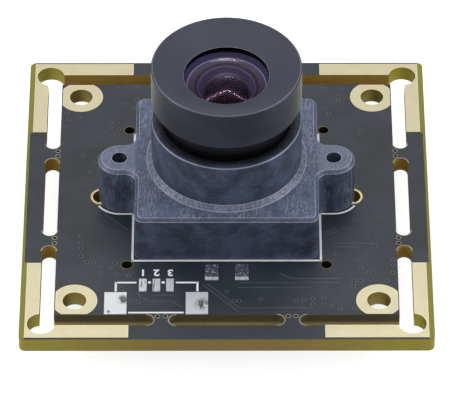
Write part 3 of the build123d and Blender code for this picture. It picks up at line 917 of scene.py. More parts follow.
@dataclass(frozen=True)
class CastCoat(Finish):
    """Blue-grey coat on a tumbled die casting, worn light along its edges, with painted top light, a painted
    highlight round the foot and painted shade under the head.
    """

    coat: Colour = (0.095, 0.122, 0.212)
    deep: Colour = (0.038, 0.046, 0.078)
    # Lighter colour of up-facing faces: specks, and painted top light.
    speckled: Colour = (0.150, 0.185, 0.300)
    # Colour of the streaks and worn edges, also laid as painted top light on the ears and a painted highlight
    # round the foot.
    rubbed: Colour = (0.40, 0.43, 0.56)
    bare_edge: Colour = (0.66, 0.69, 0.86)
    # Near-black of the painted shade on the collar's top under the lens head.
    mouth: Colour = (0.004, 0.005, 0.008)
    scuffs: Spots = Spots(1.6, 4.0, 0.75, 0.5, 0.7, 0.8, (1.2, 1.2, 4.5))
    clouds: Spots = Spots(1.5, 4.0, 0.65, 0.38, 0.66, 0.5)
    specks: Spots = Spots(5.5, 3.0, 0.7, 0.4, 0.64, 0.3)
    mottle: Spots = Spots(3.4, 4.0, 0.7, 0.36, 0.62, 0.6)
    scuff_share: float = 0.22
    cloud_share: float = 0.35
    speck_gain: Point = (0.7, 0.12)
    mottle_gain: Point = (0.4, 0.04)
    top_streaks: float = 0.75
    ear_streaks: float = 0.4
    ear_rub: float = 0.22
    rim_share: float = 0.22
    mouth_gain: Point = (0.4, 0.55)
    looks_up: Point = (0.6, 0.95)
    metallic: float = 0.2
    gloss: Point = (-0.12, 0.5)
    grain_height: float = 0.7
    relief: Point = (0.35, 0.04)
    ear_from: Point = (8.4, 8.7)
    foot_ring_outer: Point = (7.62, 7.4)
    foot_ring_inner: Point = (6.97, 7.08)
    foot_ring_top: float = 5.5
    rim_radius: float = 6.7
    rim_level: float = 9.7
    rim_line_radius: Point = (6.86, 6.9)
    rim_line_level: Point = (9.87, 9.91)
    mouth_radius: Point = (6.9, 6.86)
    mouth_depth: Point = (6.85, 6.1)

    def swirls(self, graph: Graph, place: Socket, on_ear: Socket, flat_top: Socket) -> Socket:
        """Gives the light streaks, strong on flat tops and weak on walls.

        Args:
            graph: The material's graph.
            place: The coordinates.
            on_ear: Where the ears are.
            flat_top: Where the face looks up.

        Returns:
            The streaks, from 0 to 1.
        """
        x, y, z = graph.axes(place)
        along_y = graph.add("CombineXYZ", {0: y, 1: x, 2: z}).outputs[0]
        along_z = graph.add("CombineXYZ", {0: z, 1: x, 2: y}).outputs[0]
        on_top = graph.effect(STREAKS, Place=along_y, Fineness=3.6, Swirl=1.8)["Mask"]
        on_wall = graph.effect(STREAKS, Place=along_z, Fineness=2.6, Swirl=0.8)["Mask"]
        scuffs = graph.times(graph.spots(place, self.scuffs), self.scuff_share)
        on_wall = graph.most(graph.times(on_wall, on_ear, self.ear_streaks), scuffs)
        return graph.between(flat_top, on_wall, graph.times(on_top, self.top_streaks))

    def lay(self, graph: Graph) -> dict[str, object]:
        """Lays the coat, its streaks, its worn edges, its painted top light, highlight and shade, and its
        grain.
        """
        place = graph.place()
        x, y, z = graph.axes(place)
        radius = graph.radius(x, y)
        grain = graph.effect(GRAIN, Place=place, Size=0.13, Patches=2.2)
        flat_top = graph.smooth(graph.upward(), *self.looks_up)
        on_ear = graph.smooth(graph.math("ABSOLUTE", x), *self.ear_from)
        swirls = self.swirls(graph, place, on_ear, flat_top)
        shade = graph.mix(graph.smooth(grain["Broad"], *PATCH_FADE), self.deep, self.coat)
        shade = graph.mix(graph.times(graph.spots(place, self.clouds), self.cloud_share), shade, self.deep)
        # Painted top light: up-facing faces are laid lighter, strongest in the specks, and the ears' tops
        # lighter still.
        lit = graph.times(flat_top, graph.scaled(graph.spots(place, self.specks), *self.speck_gain))
        shade = graph.mix(lit, shade, self.speckled)
        shade = graph.mix(graph.times(flat_top, on_ear, self.ear_rub), shade, self.rubbed)
        shade = graph.mix(swirls, shade, self.rubbed)
        # Painted highlight: a mottled lighter band on the chamfer round the collar's foot.
        foot_highlight = graph.times(
            graph.smooth(radius, *self.foot_ring_outer), graph.below(z, self.foot_ring_top),
            graph.smooth(radius, *self.foot_ring_inner),
            graph.scaled(graph.spots(place, self.mottle), *self.mottle_gain))
        edges = graph.effect(BARE_EDGES, Place=place, Width=0.09, Breaks=0.5, Gain=1.0)["Mask"]
        high = graph.above(z, self.rim_level)
        at_rim = graph.times(high, graph.above(radius, self.rim_radius))
        rim_line = graph.times(
            graph.smooth(z, *self.rim_line_level), graph.smooth(radius, *self.rim_line_radius),
            self.rim_share)
        edges = graph.between(at_rim, edges, rim_line)
        # Worn edges and the painted highlight at the foot together; they also set the roughness.
        rubbed = graph.most(foot_highlight, edges)
        shade = graph.mix(rubbed, shade, self.rubbed)
        shade = graph.mix(edges, shade, self.bare_edge)
        # Painted shade: the collar's top face under the lens head is darkened, most towards the thread.
        under_head_shade_depth = graph.scaled(graph.smooth(radius, *self.mouth_depth), *self.mouth_gain)
        mouth_shade = graph.times(high, graph.smooth(radius, *self.mouth_radius), under_head_shade_depth)
        height = graph.math("SUBTRACT", graph.times(grain["Height"], self.grain_height), swirls)
        return {
            "Base Color": graph.mix(mouth_shade, shade, self.mouth),
            "Metallic": self.metallic,
            "Roughness": graph.scaled(rubbed, *self.gloss),
            "Normal": graph.bump(height, *self.relief),
        }


@dataclass(frozen=True)
class TurnedBlack(Finish):
    """Dark anodised turning with fine tool rings, and thread below the head, with painted shade on the thread
    and the aperture wall, painted light and sheen on the head's top face, and a painted violet reflection in
    the lens seat.
    """

    colour: Colour = (0.036, 0.041, 0.066)
    dark: Colour = (0.020, 0.023, 0.037)
    edge: Colour = (0.34, 0.36, 0.42)
    # Pale colour of the painted sheen at grazing angles.
    haze: Colour = (0.48, 0.48, 0.45)
    # Lighter, bluer colour of the head's top face: painted top light.
    dish: Colour = (0.045, 0.051, 0.086)
    dish_share: float = 0.8
    haze_share: float = 0.9
    haze_narrowness: float = 6.0
    rim_share: float = 0.45
    head_edges: Point = (0.85, 0.15)
    neck: Colour = (0.050, 0.052, 0.064)
    # Violet of the lens seat: a painted reflection of the coating.
    bore: Colour = (0.300, 0.220, 0.550)
    # Near-black of the painted shade on the thread and the aperture wall.
    shaded: Colour = (0.002, 0.002, 0.003)
    thread_pitch: float = 0.5
    thread_zone: Point = (6.2, 12.7)
    neck_lit: Point = (10.4, 12.8)
    mouth_zone: Point = (3.96, 15.24)
    seat_zone: Point = (4.64, 14.71)
    dish_radius: float = 6.85
    dish_level: float = 15.2
    dish_haze: Point = (4.2, 6.7)
    rim_radius: float = 6.7
    rim_level: float = 16.2
    rim_line_inner: Point = (6.77, 6.8)
    rim_line_outer: Point = (6.88, 6.85)
    head_level: float = 13.0
    rings: float = 24.0
    ring_height: float = 0.025
    thread_height: float = 1.2
    grain_height: float = 0.06
    relief: Point = (0.6, 0.05)
    gloss: Point = (0.12, 0.36)
    shine: Point = (-0.4, 0.45)

    def turned(self, graph: Graph, place: Socket, radius: Socket, on_thread: Socket) -> Socket:
        """Gives the height of the tool rings and the thread.

        Args:
            graph: The material's graph.
            place: The coordinates.
            radius: Distance from the axis.
            on_thread: Where the thread is.

        Returns:
            The height.
        """
        x, y, z = graph.axes(place)
        rings = graph.math("SINE", graph.times(graph.math("ADD", radius, z), self.rings * math.tau / 4.0))
        angle = graph.math("DIVIDE", graph.math("ARCTAN2", y, x), math.tau)
        pitch = graph.math("ADD", graph.math("DIVIDE", z, self.thread_pitch), angle)
        thread = graph.times(graph.math("PINGPONG", pitch, 0.5), on_thread)
        rings, thread = graph.times(rings, self.ring_height), graph.times(thread, self.thread_height)
        return graph.math("ADD", rings, thread)

    def lay(self, graph: Graph) -> dict[str, object]:
        """Lays the anodising, the tool rings, the thread, the bright edges, and the painted shade, light,
        sheen and reflection.
        """
        place = graph.place()
        x, y, z = graph.axes(place)
        radius = graph.radius(x, y)
        grain = graph.effect(GRAIN, Place=place, Size=0.09, Patches=3.0)
        on_thread, mouth_shade, on_seat = (
            graph.times(graph.below(radius, reach), graph.below(z, top))
            for reach, top in (self.thread_zone, self.mouth_zone, self.seat_zone))
        dark = graph.most(on_thread, mouth_shade)
        shade = graph.mix(graph.smooth(grain["Broad"], *PATCH_FADE), self.dark, self.colour)
        # Painted top light: the head's top face is laid lighter and bluer.
        in_dish = graph.times(graph.below(radius, self.dish_radius), graph.above(z, self.dish_level))
        shade = graph.mix(graph.times(in_dish, self.dish_share), shade, self.dish)
        # Painted sheen: a pale colour where a face is seen at a grazing angle, less of it towards the
        # aperture.
        facing = graph.add("LayerWeight", {"Blend": 0.5}).outputs["Facing"]
        outwards = graph.times(graph.smooth(radius, *self.dish_haze), self.haze_share)
        grazing = graph.math("POWER", facing, self.haze_narrowness)
        shade = graph.mix(graph.times(grazing, outwards), shade, self.haze)
        edges = graph.effect(BARE_EDGES, Place=place, Width=0.08, Breaks=0.9, Gain=1.0)["Mask"]
        at_rim = graph.times(graph.above(radius, self.rim_radius), graph.above(z, self.rim_level))
        rim_line = graph.times(
            graph.smooth(radius, *self.rim_line_inner), graph.smooth(radius, *self.rim_line_outer),
            self.rim_share)
        on_head = graph.scaled(graph.above(z, self.head_level), *self.head_edges)
        edges = graph.times(graph.between(at_rim, edges, rim_line), on_head)
        shade = graph.mix(edges, shade, self.edge)
        # Painted shade: the thread under the head and the aperture wall are laid almost black, less of it up
        # the neck towards the head.
        shade = graph.mix(dark, shade, self.shaded)
        shade = graph.mix(graph.times(on_thread, graph.smooth(z, *self.neck_lit)), shade, self.neck)
        turned = self.turned(graph, place, radius, on_thread)
        height = graph.math("ADD", turned, graph.times(grain["Fine"], self.grain_height))
        # Painted reflection: the seat under the front glass is laid violet.
        return {
            "Base Color": graph.mix(on_seat, shade, self.bore),
            "Specular IOR Level": graph.scaled(dark, *self.shine),
            "Roughness": graph.scaled(grain["Fine"], *self.gloss),
            "Normal": graph.bump(height, *self.relief),
        }


@dataclass(frozen=True)
class CoatedGlass(Finish):
    """Polished glass with a thin coating that reflects one colour."""

    body: Colour = (0.82, 0.78, 0.92)
    glint: Colour = (0.18, 0.064, 0.17)
    index: float = 1.52
    dusty: Layer = Layer((0.50, 0.45, 0.60), 0.3)
    dust: Spots = Spots(3.0, 5.0, 0.8, 0.66, 0.76)
    gloss: Point = (0.05, 0.085)

    def lay(self, graph: Graph) -> dict[str, object]:
        """Lays clear glass, faint dust on it and the coating's reflection."""
        dust = graph.spots(graph.place(), self.dust)
        return {
            "Base Color": graph.over(self.body, dust, self.dusty),
            "Roughness": graph.scaled(dust, *self.gloss),
            "IOR": self.index,
            "Transmission Weight": 1.0,
            "Specular Tint": self.glint,
        }


@dataclass(frozen=True)
class InkedGlass(Finish):
    """Glass and spacer faces seen behind the front element, with rings of colour that are painted light: the
    rear half lighter and a light line as painted reflection, a near-black centre as painted shade, and a glow
    of their own.
    """

    # Near-black of the centre: painted shade.
    well: Colour = (0.003, 0.003, 0.004)
    fade: Colour = (0.046, 0.040, 0.064)
    low: Colour = (0.030, 0.018, 0.036)
    line: Colour = (0.200, 0.200, 0.290)
    band: Colour = (0.040, 0.036, 0.068)
    rear_from: Point = (-1.8, 2.2)
    well_radius: float = 2.62
    ditch: Point = (0.22, 0.05)
    ditch_share: float = 0.8
    line_radius: float = 3.50
    line_width: float = 0.09
    band_radius: float = 4.42
    # Strength of the rings' own glow, which is painted light.
    glow: float = 1.0
    shine: float = 0.3
    gloss: float = 0.08
    relief: float = 0.1

    def lay(self, graph: Graph) -> dict[str, object]:
        """Lays the rings of painted reflection and shade by their distance from the axis."""
        place = graph.place()
        x, y, _ = graph.axes(place)
        radius = graph.radius(x, y)
        grain = graph.effect(GRAIN, Place=place, Size=0.1, Patches=1.0)
        # Painted reflection: the rear half is laid lighter.
        rear = graph.smooth(y, *self.rear_from)
        shade = graph.mix(rear, self.low, self.fade)
        # Painted shade: a dark ring just outside the near-black centre.
        ditch = graph.smooth(radius, self.well_radius + self.ditch[0], self.well_radius + self.ditch[1])
        shade = graph.mix(graph.times(ditch, self.ditch_share), shade, self.well)
        # Painted highlight: a light line at the rear.
        line = graph.smooth(radius, self.line_radius - 2 * self.line_width, self.line_radius)
        shade = graph.mix(graph.times(line, rear), shade, self.line)
        # Painted reflection: the outer band too is lighter at the rear.
        band = graph.mix(rear, self.low, self.band)
        shade = graph.mix(graph.above(radius, self.line_radius), shade, band)
        # Painted shade: near-black outside the outer band and inside the centre radius.
        shade = graph.mix(graph.smooth(radius, self.band_radius - 0.1, self.band_radius), shade, self.well)
        shade = graph.mix(graph.above(radius, self.well_radius), self.well, shade)
        feeds = {
            "Base Color": shade,
            # Painted light: the rings glow with their own colour.
            "Emission Color": shade,
            "Emission Strength": self.glow,
            "Specular IOR Level": self.gloss,
            "Roughness": graph.scaled(grain["Fine"], 0.3 * self.shine, self.shine),
        }
        if self.relief:
            feeds["Normal"] = graph.bump(grain["Height"], self.relief, 0.01)
        return feeds


@dataclass(frozen=True)
class MouldedResin(Finish):
    """Moulded resin or nylon with a fine matt skin."""

    colour: Colour = (0.022, 0.022, 0.025)
    grain_size: float = 0.09
    roughness: float = 0.55
    grain_share: float = 0.6
    relief: Point = (0.4, 0.02)

    def lay(self, graph: Graph) -> dict[str, object]:
        """Lays the resin, its skin and lighter edges."""
        place = graph.place()
        grain = graph.effect(GRAIN, Place=place, Size=self.grain_size, Patches=1.6)
        edges = graph.effect(BARE_EDGES, Place=place, Width=0.05, Breaks=0.4, Gain=0.35)["Mask"]
        lighter = Layer(tint(self.colour, 1.5, 0.01), self.grain_share)
        shade = graph.over(self.colour, grain["Fine"], lighter)
        shade = graph.mix(edges, shade, tint(self.colour, 2.2, 0.03))
        return {"Base Color": shade} | self.skin(graph, grain, self.roughness, self.relief)


@dataclass(frozen=True)
class FiredCeramic(Finish):
    """Fired ceramic or ferrite with specks and slightly paler edges."""

    colour: Colour = (0.30, 0.20, 0.115)
    speck: Colour = (0.42, 0.31, 0.2)
    roughness: float = 0.5
    specks: Spots = Spots(12.0, 2.0, 0.6, 0.58, 0.68)
    patch_share: float = 0.4
    speck_share: float = 0.5
    relief: Point = (0.4, 0.015)

    def lay(self, graph: Graph) -> dict[str, object]:
        """Lays the ceramic, its specks and its edges."""
        place = graph.place()
        grain = graph.effect(GRAIN, Place=place, Size=0.06, Patches=0.7)
        shade = graph.over(self.colour, grain["Broad"], Layer(self.speck, self.patch_share))
        shade = graph.over(shade, graph.spots(place, self.specks), Layer(self.speck, self.speck_share))
        edges = graph.effect(BARE_EDGES, Place=place, Width=0.04, Breaks=0.3, Gain=0.4)["Mask"]
        shade = graph.mix(edges, shade, self.speck)
        return {"Base Color": shade} | self.skin(graph, grain, self.roughness, self.relief)


@dataclass(frozen=True)
class PrintedInk(Finish):
    """White legend ink, a little thin in places."""

    colour: Colour = (0.95, 0.96, 0.97)
    thin: Layer = Layer((0.30, 0.31, 0.33), 0.75)
    thin_places: Spots = Spots(3.5, 5.0, 0.75, 0.6, 0.72)
    roughness: float = 0.55
    relief: Point = (0.3, 0.01)

    def lay(self, graph: Graph) -> dict[str, object]:
        """Lays the ink and its thin places."""
        place = graph.place()
        grain = graph.effect(GRAIN, Place=place, Size=0.09, Patches=0.6)
        shade = graph.over(self.colour, graph.spots(place, self.thin_places), self.thin)
        return {"Base Color": shade} | self.skin(graph, grain, self.roughness, self.relief)


@dataclass(frozen=True)
class DarkHole(Finish):
    """Painted shade for the inside of a small hole, laid as a dark disc, with a faint metal tone."""

    colour: Colour = (0.003, 0.003, 0.003)
    roughness: float = 0.6

    def lay(self, graph: Graph) -> dict[str, object]:
        """Lays a dark, slightly uneven colour."""
        grain = graph.effect(GRAIN, Place=graph.place(), Size=0.05, Patches=0.3)
        return {
            "Base Color": graph.mix(grain["Fine"], self.colour, tint(self.colour, 1.8)),
            "Roughness": graph.scaled(grain["Fine"], GRAIN_SPREAD, self.roughness),
        }


MASK = MaskedLaminate("solder mask and laminate")
TRACE = CopperUnderMask("mask over copper")
GOLD = Plated("thin gold", border=0.1)
GOLD_RIM = Plated("gold rim", (0.80, 0.72, 0.36), (0.62, 0.54, 0.24), 0.35)
DULL_RIM = Plated("dull rim", (0.16, 0.15, 0.09), (0.10, 0.095, 0.06), 0.5)
VIA_RIM = CopperUnderMask("mask over via", (0.105, 0.118, 0.136))
PALE_RIM = Plated("cut rim", (0.42, 0.40, 0.31), (0.27, 0.25, 0.18), 0.5)
PADS = FrontPads("scuffed front pads")
LEAD = Plated("tinned lead", (0.62, 0.62, 0.61), (0.50, 0.50, 0.49), 0.34, 0.06, 0.5)
SOLDER = Plated("solder", (0.66, 0.66, 0.67), (0.52, 0.52, 0.53), 0.26, 0.2, 0.6)
SCREW = Plated("nickelled steel", (0.50, 0.50, 0.49), (0.38, 0.38, 0.37), 0.34, 0.1, 0.9)
LID = Plated("crystal lid", (0.62, 0.59, 0.50), (0.54, 0.51, 0.42), 0.32, 0.12, 1.0)
CASTING = CastCoat("cast holder coat")
TURNED = TurnedBlack("anodised turning")
BLACKED = TurnedBlack(
    "blackened ring", (0.020, 0.020, 0.022), (0.014, 0.014, 0.016), (0.07, 0.07, 0.075), (0.03, 0.03, 0.03),
    (0.014, 0.014, 0.016))
FRONT_GLASS = CoatedGlass("coated front glass")
REAR_GLASS = CoatedGlass("rear glass", (0.90, 0.94, 0.95), (0.75, 0.9, 1.0), 1.6)
COVER_GLASS = CoatedGlass("sensor cover glass", (0.94, 0.96, 0.96), (0.9, 0.95, 1.0), 1.5)
FILTER_GLASS = CoatedGlass("infrared filter", (0.55, 0.86, 0.84), (0.9, 0.5, 0.6), 1.5)
# The spacer's face glows, is lighter at the rear and has a light line: painted light and painted reflection.
SPACER = InkedGlass("violet spacer face")
# The second element is laid near-black all over: painted shade, with no glow.
DOME = InkedGlass("dark inner glass", well_radius=2.6, glow=0.0, shine=0.0, gloss=0.03, relief=0.0)
# The opening's ring glows, is lighter at the rear and has a light line: painted light.
OPENING = InkedGlass(
    "opening break", well_radius=0.0, fade=(0.11, 0.11, 0.15), low=(0.03, 0.025, 0.035), line_radius=2.53,
    line_width=0.01, band=(0.003, 0.003, 0.004), band_radius=2.5)
RESIN = MouldedResin("package resin")
NYLON = MouldedResin("socket nylon", (0.70, 0.67, 0.58), 0.16, 0.5)
FERRITE = FiredCeramic("inductor ferrite", (0.045, 0.045, 0.048), (0.09, 0.09, 0.095), 0.62)
CAPACITOR = FiredCeramic("capacitor ceramic")
RESISTOR = FiredCeramic("resistor film", (0.02, 0.02, 0.024), (0.06, 0.06, 0.065), 0.35)
PACKAGE = FiredCeramic("sensor ceramic", (0.09, 0.088, 0.09), (0.16, 0.155, 0.15), 0.55)
SILICON = Plated("sensor silicon", (0.16, 0.22, 0.2), (0.25, 0.16, 0.3), 0.2, 0.5, 2.0)
INK = PrintedInk("legend ink")
HOLE_SHADE = DarkHole("small hole")


# Board


# The dark discs in the holes are painted shade.
PIT_SHARE = 0.4  # Part of a rim's rise that the dark pit inside it has


@dataclass
class BoardLegend:
    """White print on the front: the holder's outline, a bracket, two dots and plain numbers."""

    line: float = 0.2
    rise: float = 0.012
    half_side: float = 8.75
    front_y: float = 8.69
    ear_x: float = 10.0
    ear_radius: float = 2.37
    ear_root: float = 2.32
    ear_sweep: float = 58.0
    bracket_top: float = -11.6
    bracket_foot: float = -12.76
    bracket_left: float = -10.23
    bracket_right: float = -2.7
    bracket_gap: Point = (-8.34, -4.7)
    lower_line: Triple = (-9.05, -3.95, -15.55)
    dots: Sequence[Point] = ((-7.13, -11.58), (-5.87, -11.58))
    dot_radius: float = 0.16
    number_places: Sequence[float] = (-7.74, -6.5, -5.22)
    number_y: float = -10.26
    number_size: float = 1.161
    number_weight: float = 0.035

    def stroke(self, start: Point, end: Point) -> Piece:
        """Prints one straight line."""
        return Bench.bar(start, end, self.line, 0.0, self.rise)

    def holder_outline(self) -> list[Piece]:
        """Prints the square round the foot and the arcs round the ears."""
        side, front, root = self.half_side, self.front_y, self.ear_root
        strokes = [self.stroke((-side - self.line / 2, -front), (side + self.line / 2, -front)),
                   self.stroke((-side, front), (side, front))]
        for x in (-side, side):
            for y in (-1.0, 1.0):
                strokes.append(self.stroke((x, y * front), (x, y * root)))
        for right in (-1.0, 1.0):
            reach = self.ear_x * right
            for upper in (-1.0, 1.0):
                y, sweep = upper * self.ear_radius, -self.ear_sweep * upper * right
                strokes.append(self.stroke((side * right, y), (reach, y)))
                strokes.append(Bench.arc(
                    (reach, 0.0), self.ear_radius, self.line, 90.0 * upper, sweep, 0.0, self.rise))
        return strokes

    def bracket(self) -> list[Piece]:
        """Prints the bracket round the small socket's place."""
        top, foot = self.bracket_top, self.bracket_foot
        left, right = self.bracket_left, self.bracket_right
        first, last, low = self.lower_line
        return [
            self.stroke((left, top), (self.bracket_gap[0], top)),
            self.stroke((self.bracket_gap[1], top), (right, top)),
            self.stroke((left, top + self.line / 2), (left, foot)),
            self.stroke((right, top + self.line / 2), (right, foot)),
            self.stroke((first, low), (last, low)),
        ] + [Bench.disc(dot, self.dot_radius, 0.0, self.rise, 16) for dot in self.dots]

    def numbers(self) -> list[Piece]:
        """Prints a plain number over each signal pad, read from the board's socket side."""
        made = []
        for index, x in enumerate(self.number_places, start=1):
            Bench.clear()
            place = (x * MM, self.number_y * MM, 0.0)
            bpy.ops.object.text_add(location=place, rotation=(0.0, 0.0, math.pi))
            text = bpy.context.object
            text.data.body = str(index)
            text.data.align_x = "CENTER"
            text.data.align_y = "CENTER"
            text.data.size = self.number_size * MM
            text.data.offset = self.number_weight * MM
            text.data.extrude = self.rise * MM
            Bench.hold(text)
            bpy.ops.object.convert(target="MESH")
            number = bpy.context.object
            Bench.settle(number)
            made.append(number)
        return made

    def build(self) -> None:
        """Prints the legend."""
        prints = {"holder_outline_print": self.holder_outline, "bracket_print": self.bracket,
                  "pad_numbers_print": self.numbers}
        for name, make in prints.items():
            Bench.release(Bench.join(make()), name, Body.BOARD, INK, "board_laminate")


FRONT_RUNS: tuple[tuple[Point, ...], ...] = (
    ((-1.76, -11.78), (1.14, -14.95), (7.84, -14.95)),
    ((-2.22, -11.89), (1.14, -15.49)),
    ((4.88, -10.36), (5.91, -11.08), (10.55, -11.08)),
    ((1.13, -11.63), (10.54, -11.63)),
    ((0.92, -12.28), (7.83, -12.28)),
    ((-8.2, -12.9), (-7.9, -13.6), (-7.07, -14.08), (-5.0, -14.08), (-4.03, -14.87)),
    ((-6.94, -13.29), (-4.87, -13.29)),
    ((-11.49, -2.35), (-9.22, -4.56)),
    ((9.27, -4.88), (10.12, -4.37)),
    ((9.26, -5.28), (10.32, -4.78)),
    ((9.94, -6.4), (13.71, -6.4)),
    ((9.79, -6.84), (12.3, -6.93)),
)

FRONT_VIAS: tuple[Point, ...] = (
    (7.93, -13.77), (8.92, -13.7), (7.92, -14.48), (8.91, -14.49), (9.59, -14.68), (3.13, -13.82),
    (1.14, -14.02), (0.69, -14.02), (6.4, -14.03), (7.09, -13.98), (0.0, -12.84), (-12.99, -8.9),
    (-12.37, -8.95), (-11.67, -9.52), (-11.65, -10.45), (-10.17, -10.45), (-10.37, -9.02), (-9.07, -10.63),
    (-8.92, -14.07), (-8.15, -14.18), (-13.61, -5.36), (-13.59, -6.32), (-13.57, -7.04), (-13.55, -8.09),
    (-10.8, -9.73), (-14.31, -11.28), (-9.71, -12.39), (-8.6, 15.28), (-8.67, 13.75), (-9.79, 12.98),
    (-8.72, 12.47), (-15.3, 11.71), (-15.08, 10.78), (-15.3, 9.78), (-14.08, 11.05), (-11.1, 10.37),
    (-11.12, 9.7), (-10.26, 9.43), (-10.46, 8.65), (-10.51, 7.69), (-11.97, 7.96), (-12.62, 7.03),
    (-13.38, 7.17), (-13.62, 5.72), (-12.54, 4.68), (-12.93, 3.42), (-12.86, 2.25), (-13.56, 1.45),
    (12.78, 9.17), (10.97, -4.19), (12.01, -3.2), (13.91, -2.7), (14.35, -3.16), (13.97, -4.38),
    (13.14, -5.63), (13.81, -6.75), (10.19, -7.87), (12.81, -7.75), (12.8, -8.37), (12.15, -8.65),
    (12.41, -9.62), (13.13, -10.29), (15.42, -8.58), (15.4, -9.36), (15.38, -10.3), (14.81, -11.37),
    (11.75, -11.38), (12.35, -11.39), (11.69, -12.13), (10.4, -15.15), (11.71, -15.03), (9.36, 15.26),
    (11.05, 15.14), (10.72, 14.1), (10.71, 13.48), (9.43, 12.43), (9.8, 11.65), (14.88, 11.51),
    (12.12, 7.54), (12.13, 6.44), (9.93, 8.25), (12.25, 4.18), (12.19, 1.37),
)

BACK_RUNS: tuple[tuple[Point, ...], ...] = (
    ((-1.9, 9.3), (-1.9, 8.4), (-3.4, 6.6), (-3.4, 4.1)),
    ((-0.6, 9.3), (-0.6, 4.1)),
    ((0.6, 9.3), (0.6, 4.1)),
    ((1.9, 9.3), (1.9, 8.6), (3.2, 6.4), (3.2, 4.1)),
    ((-4.1, 1.2), (-5.2, 1.2), (-7.8, 3.8), (-8.5, 4.6)),
    ((-4.1, 0.4), (-5.3, 0.4), (-8.6, 3.7), (-9.7, 4.8)),
    ((-4.1, -0.4), (-5.5, -0.4), (-9.9, 4.0), (-11.0, 4.9)),
    ((4.1, 1.2), (5.2, 1.2), (7.4, 3.9)),
    ((4.1, 0.4), (5.4, 0.4), (8.9, 3.9)),
    ((2.2, -4.1), (2.2, -5.2), (6.4, -5.6)),
    ((-2.2, -4.1), (-2.2, -5.2), (-6.4, -5.6)),
    ((-12.6, 3.6), (-14.2, 2.0), (-14.2, -9.5)),
    ((12.6, 3.0), (14.0, 1.6), (14.0, -9.0)),
    ((4.6, -10.2), (9.0, -10.2), (10.6, -8.6), (10.6, -7.2)),
    ((-4.6, -10.2), (-9.0, -10.2), (-10.6, -8.6), (-10.6, -7.2)),
)

BACK_VIAS: tuple[Point, ...] = (
    (-6.4, 9.6), (-7.6, 11.4), (-9.2, 12.6), (-11.6, 12.2), (7.4, 10.2), (9.8, 11.6), (12.4, 9.2),
    (11.8, 12.6), (-12.9, -1.2), (-12.1, -3.4), (-12.8, -6.8), (-9.8, -13.2), (-6.2, -13.8), (-3.1, -13.4),
    (2.9, -13.6), (6.5, -13.1), (9.9, -13.7), (12.6, -11.9), (12.9, -5.4), (12.4, -2.2), (12.9, 0.6),
    (-9.4, -8.4), (9.3, -8.8), (-5.2, -4.3), (5.3, -4.2), (4.9, 5.3), (-4.9, 5.2), (-14.6, -12.2),
    (14.5, -12.6), (14.6, 6.2), (-14.7, 5.1),
)


@dataclass
class BoardCopper:
    """Runs and vias under the mask on one side of the board."""

    face: Face
    runs: tuple[tuple[Point, ...], ...]
    vias: tuple[Point, ...]
    width: float = 0.15
    rise: float = 0.014
    via_radius: float = 0.22
    via_hole: float = 0.13

    def build(self) -> None:
        """Makes the runs, the vias' rims, and dark discs of painted shade for their holes."""
        base, rise = self.face.level, self.face.sense * self.rise
        side = self.face.name.lower()
        places = [(x, y, 0.0) for x, y in self.vias]
        strips = [Bench.bar(start, end, self.width, base, rise)
                  for run in self.runs for start, end in zip(run, run[1:])]
        Bench.release(Bench.join(strips), f"{side}_copper_runs", Body.BOARD, TRACE, "board_laminate")
        rims = Bench.copies(Bench.washer(self.via_radius, self.via_hole, base, rise, 14), places)
        Bench.release(Bench.join(rims), f"{side}_via_rims", Body.BOARD, VIA_RIM, "board_laminate")
        shade_discs = Bench.copies(Bench.disc((0.0, 0.0), self.via_hole, base, rise * PIT_SHARE, 10), places)
        Bench.release(Bench.join(shade_discs), f"{side}_via_hole_shade", Body.BOARD, HOLE_SHADE, "board_laminate")


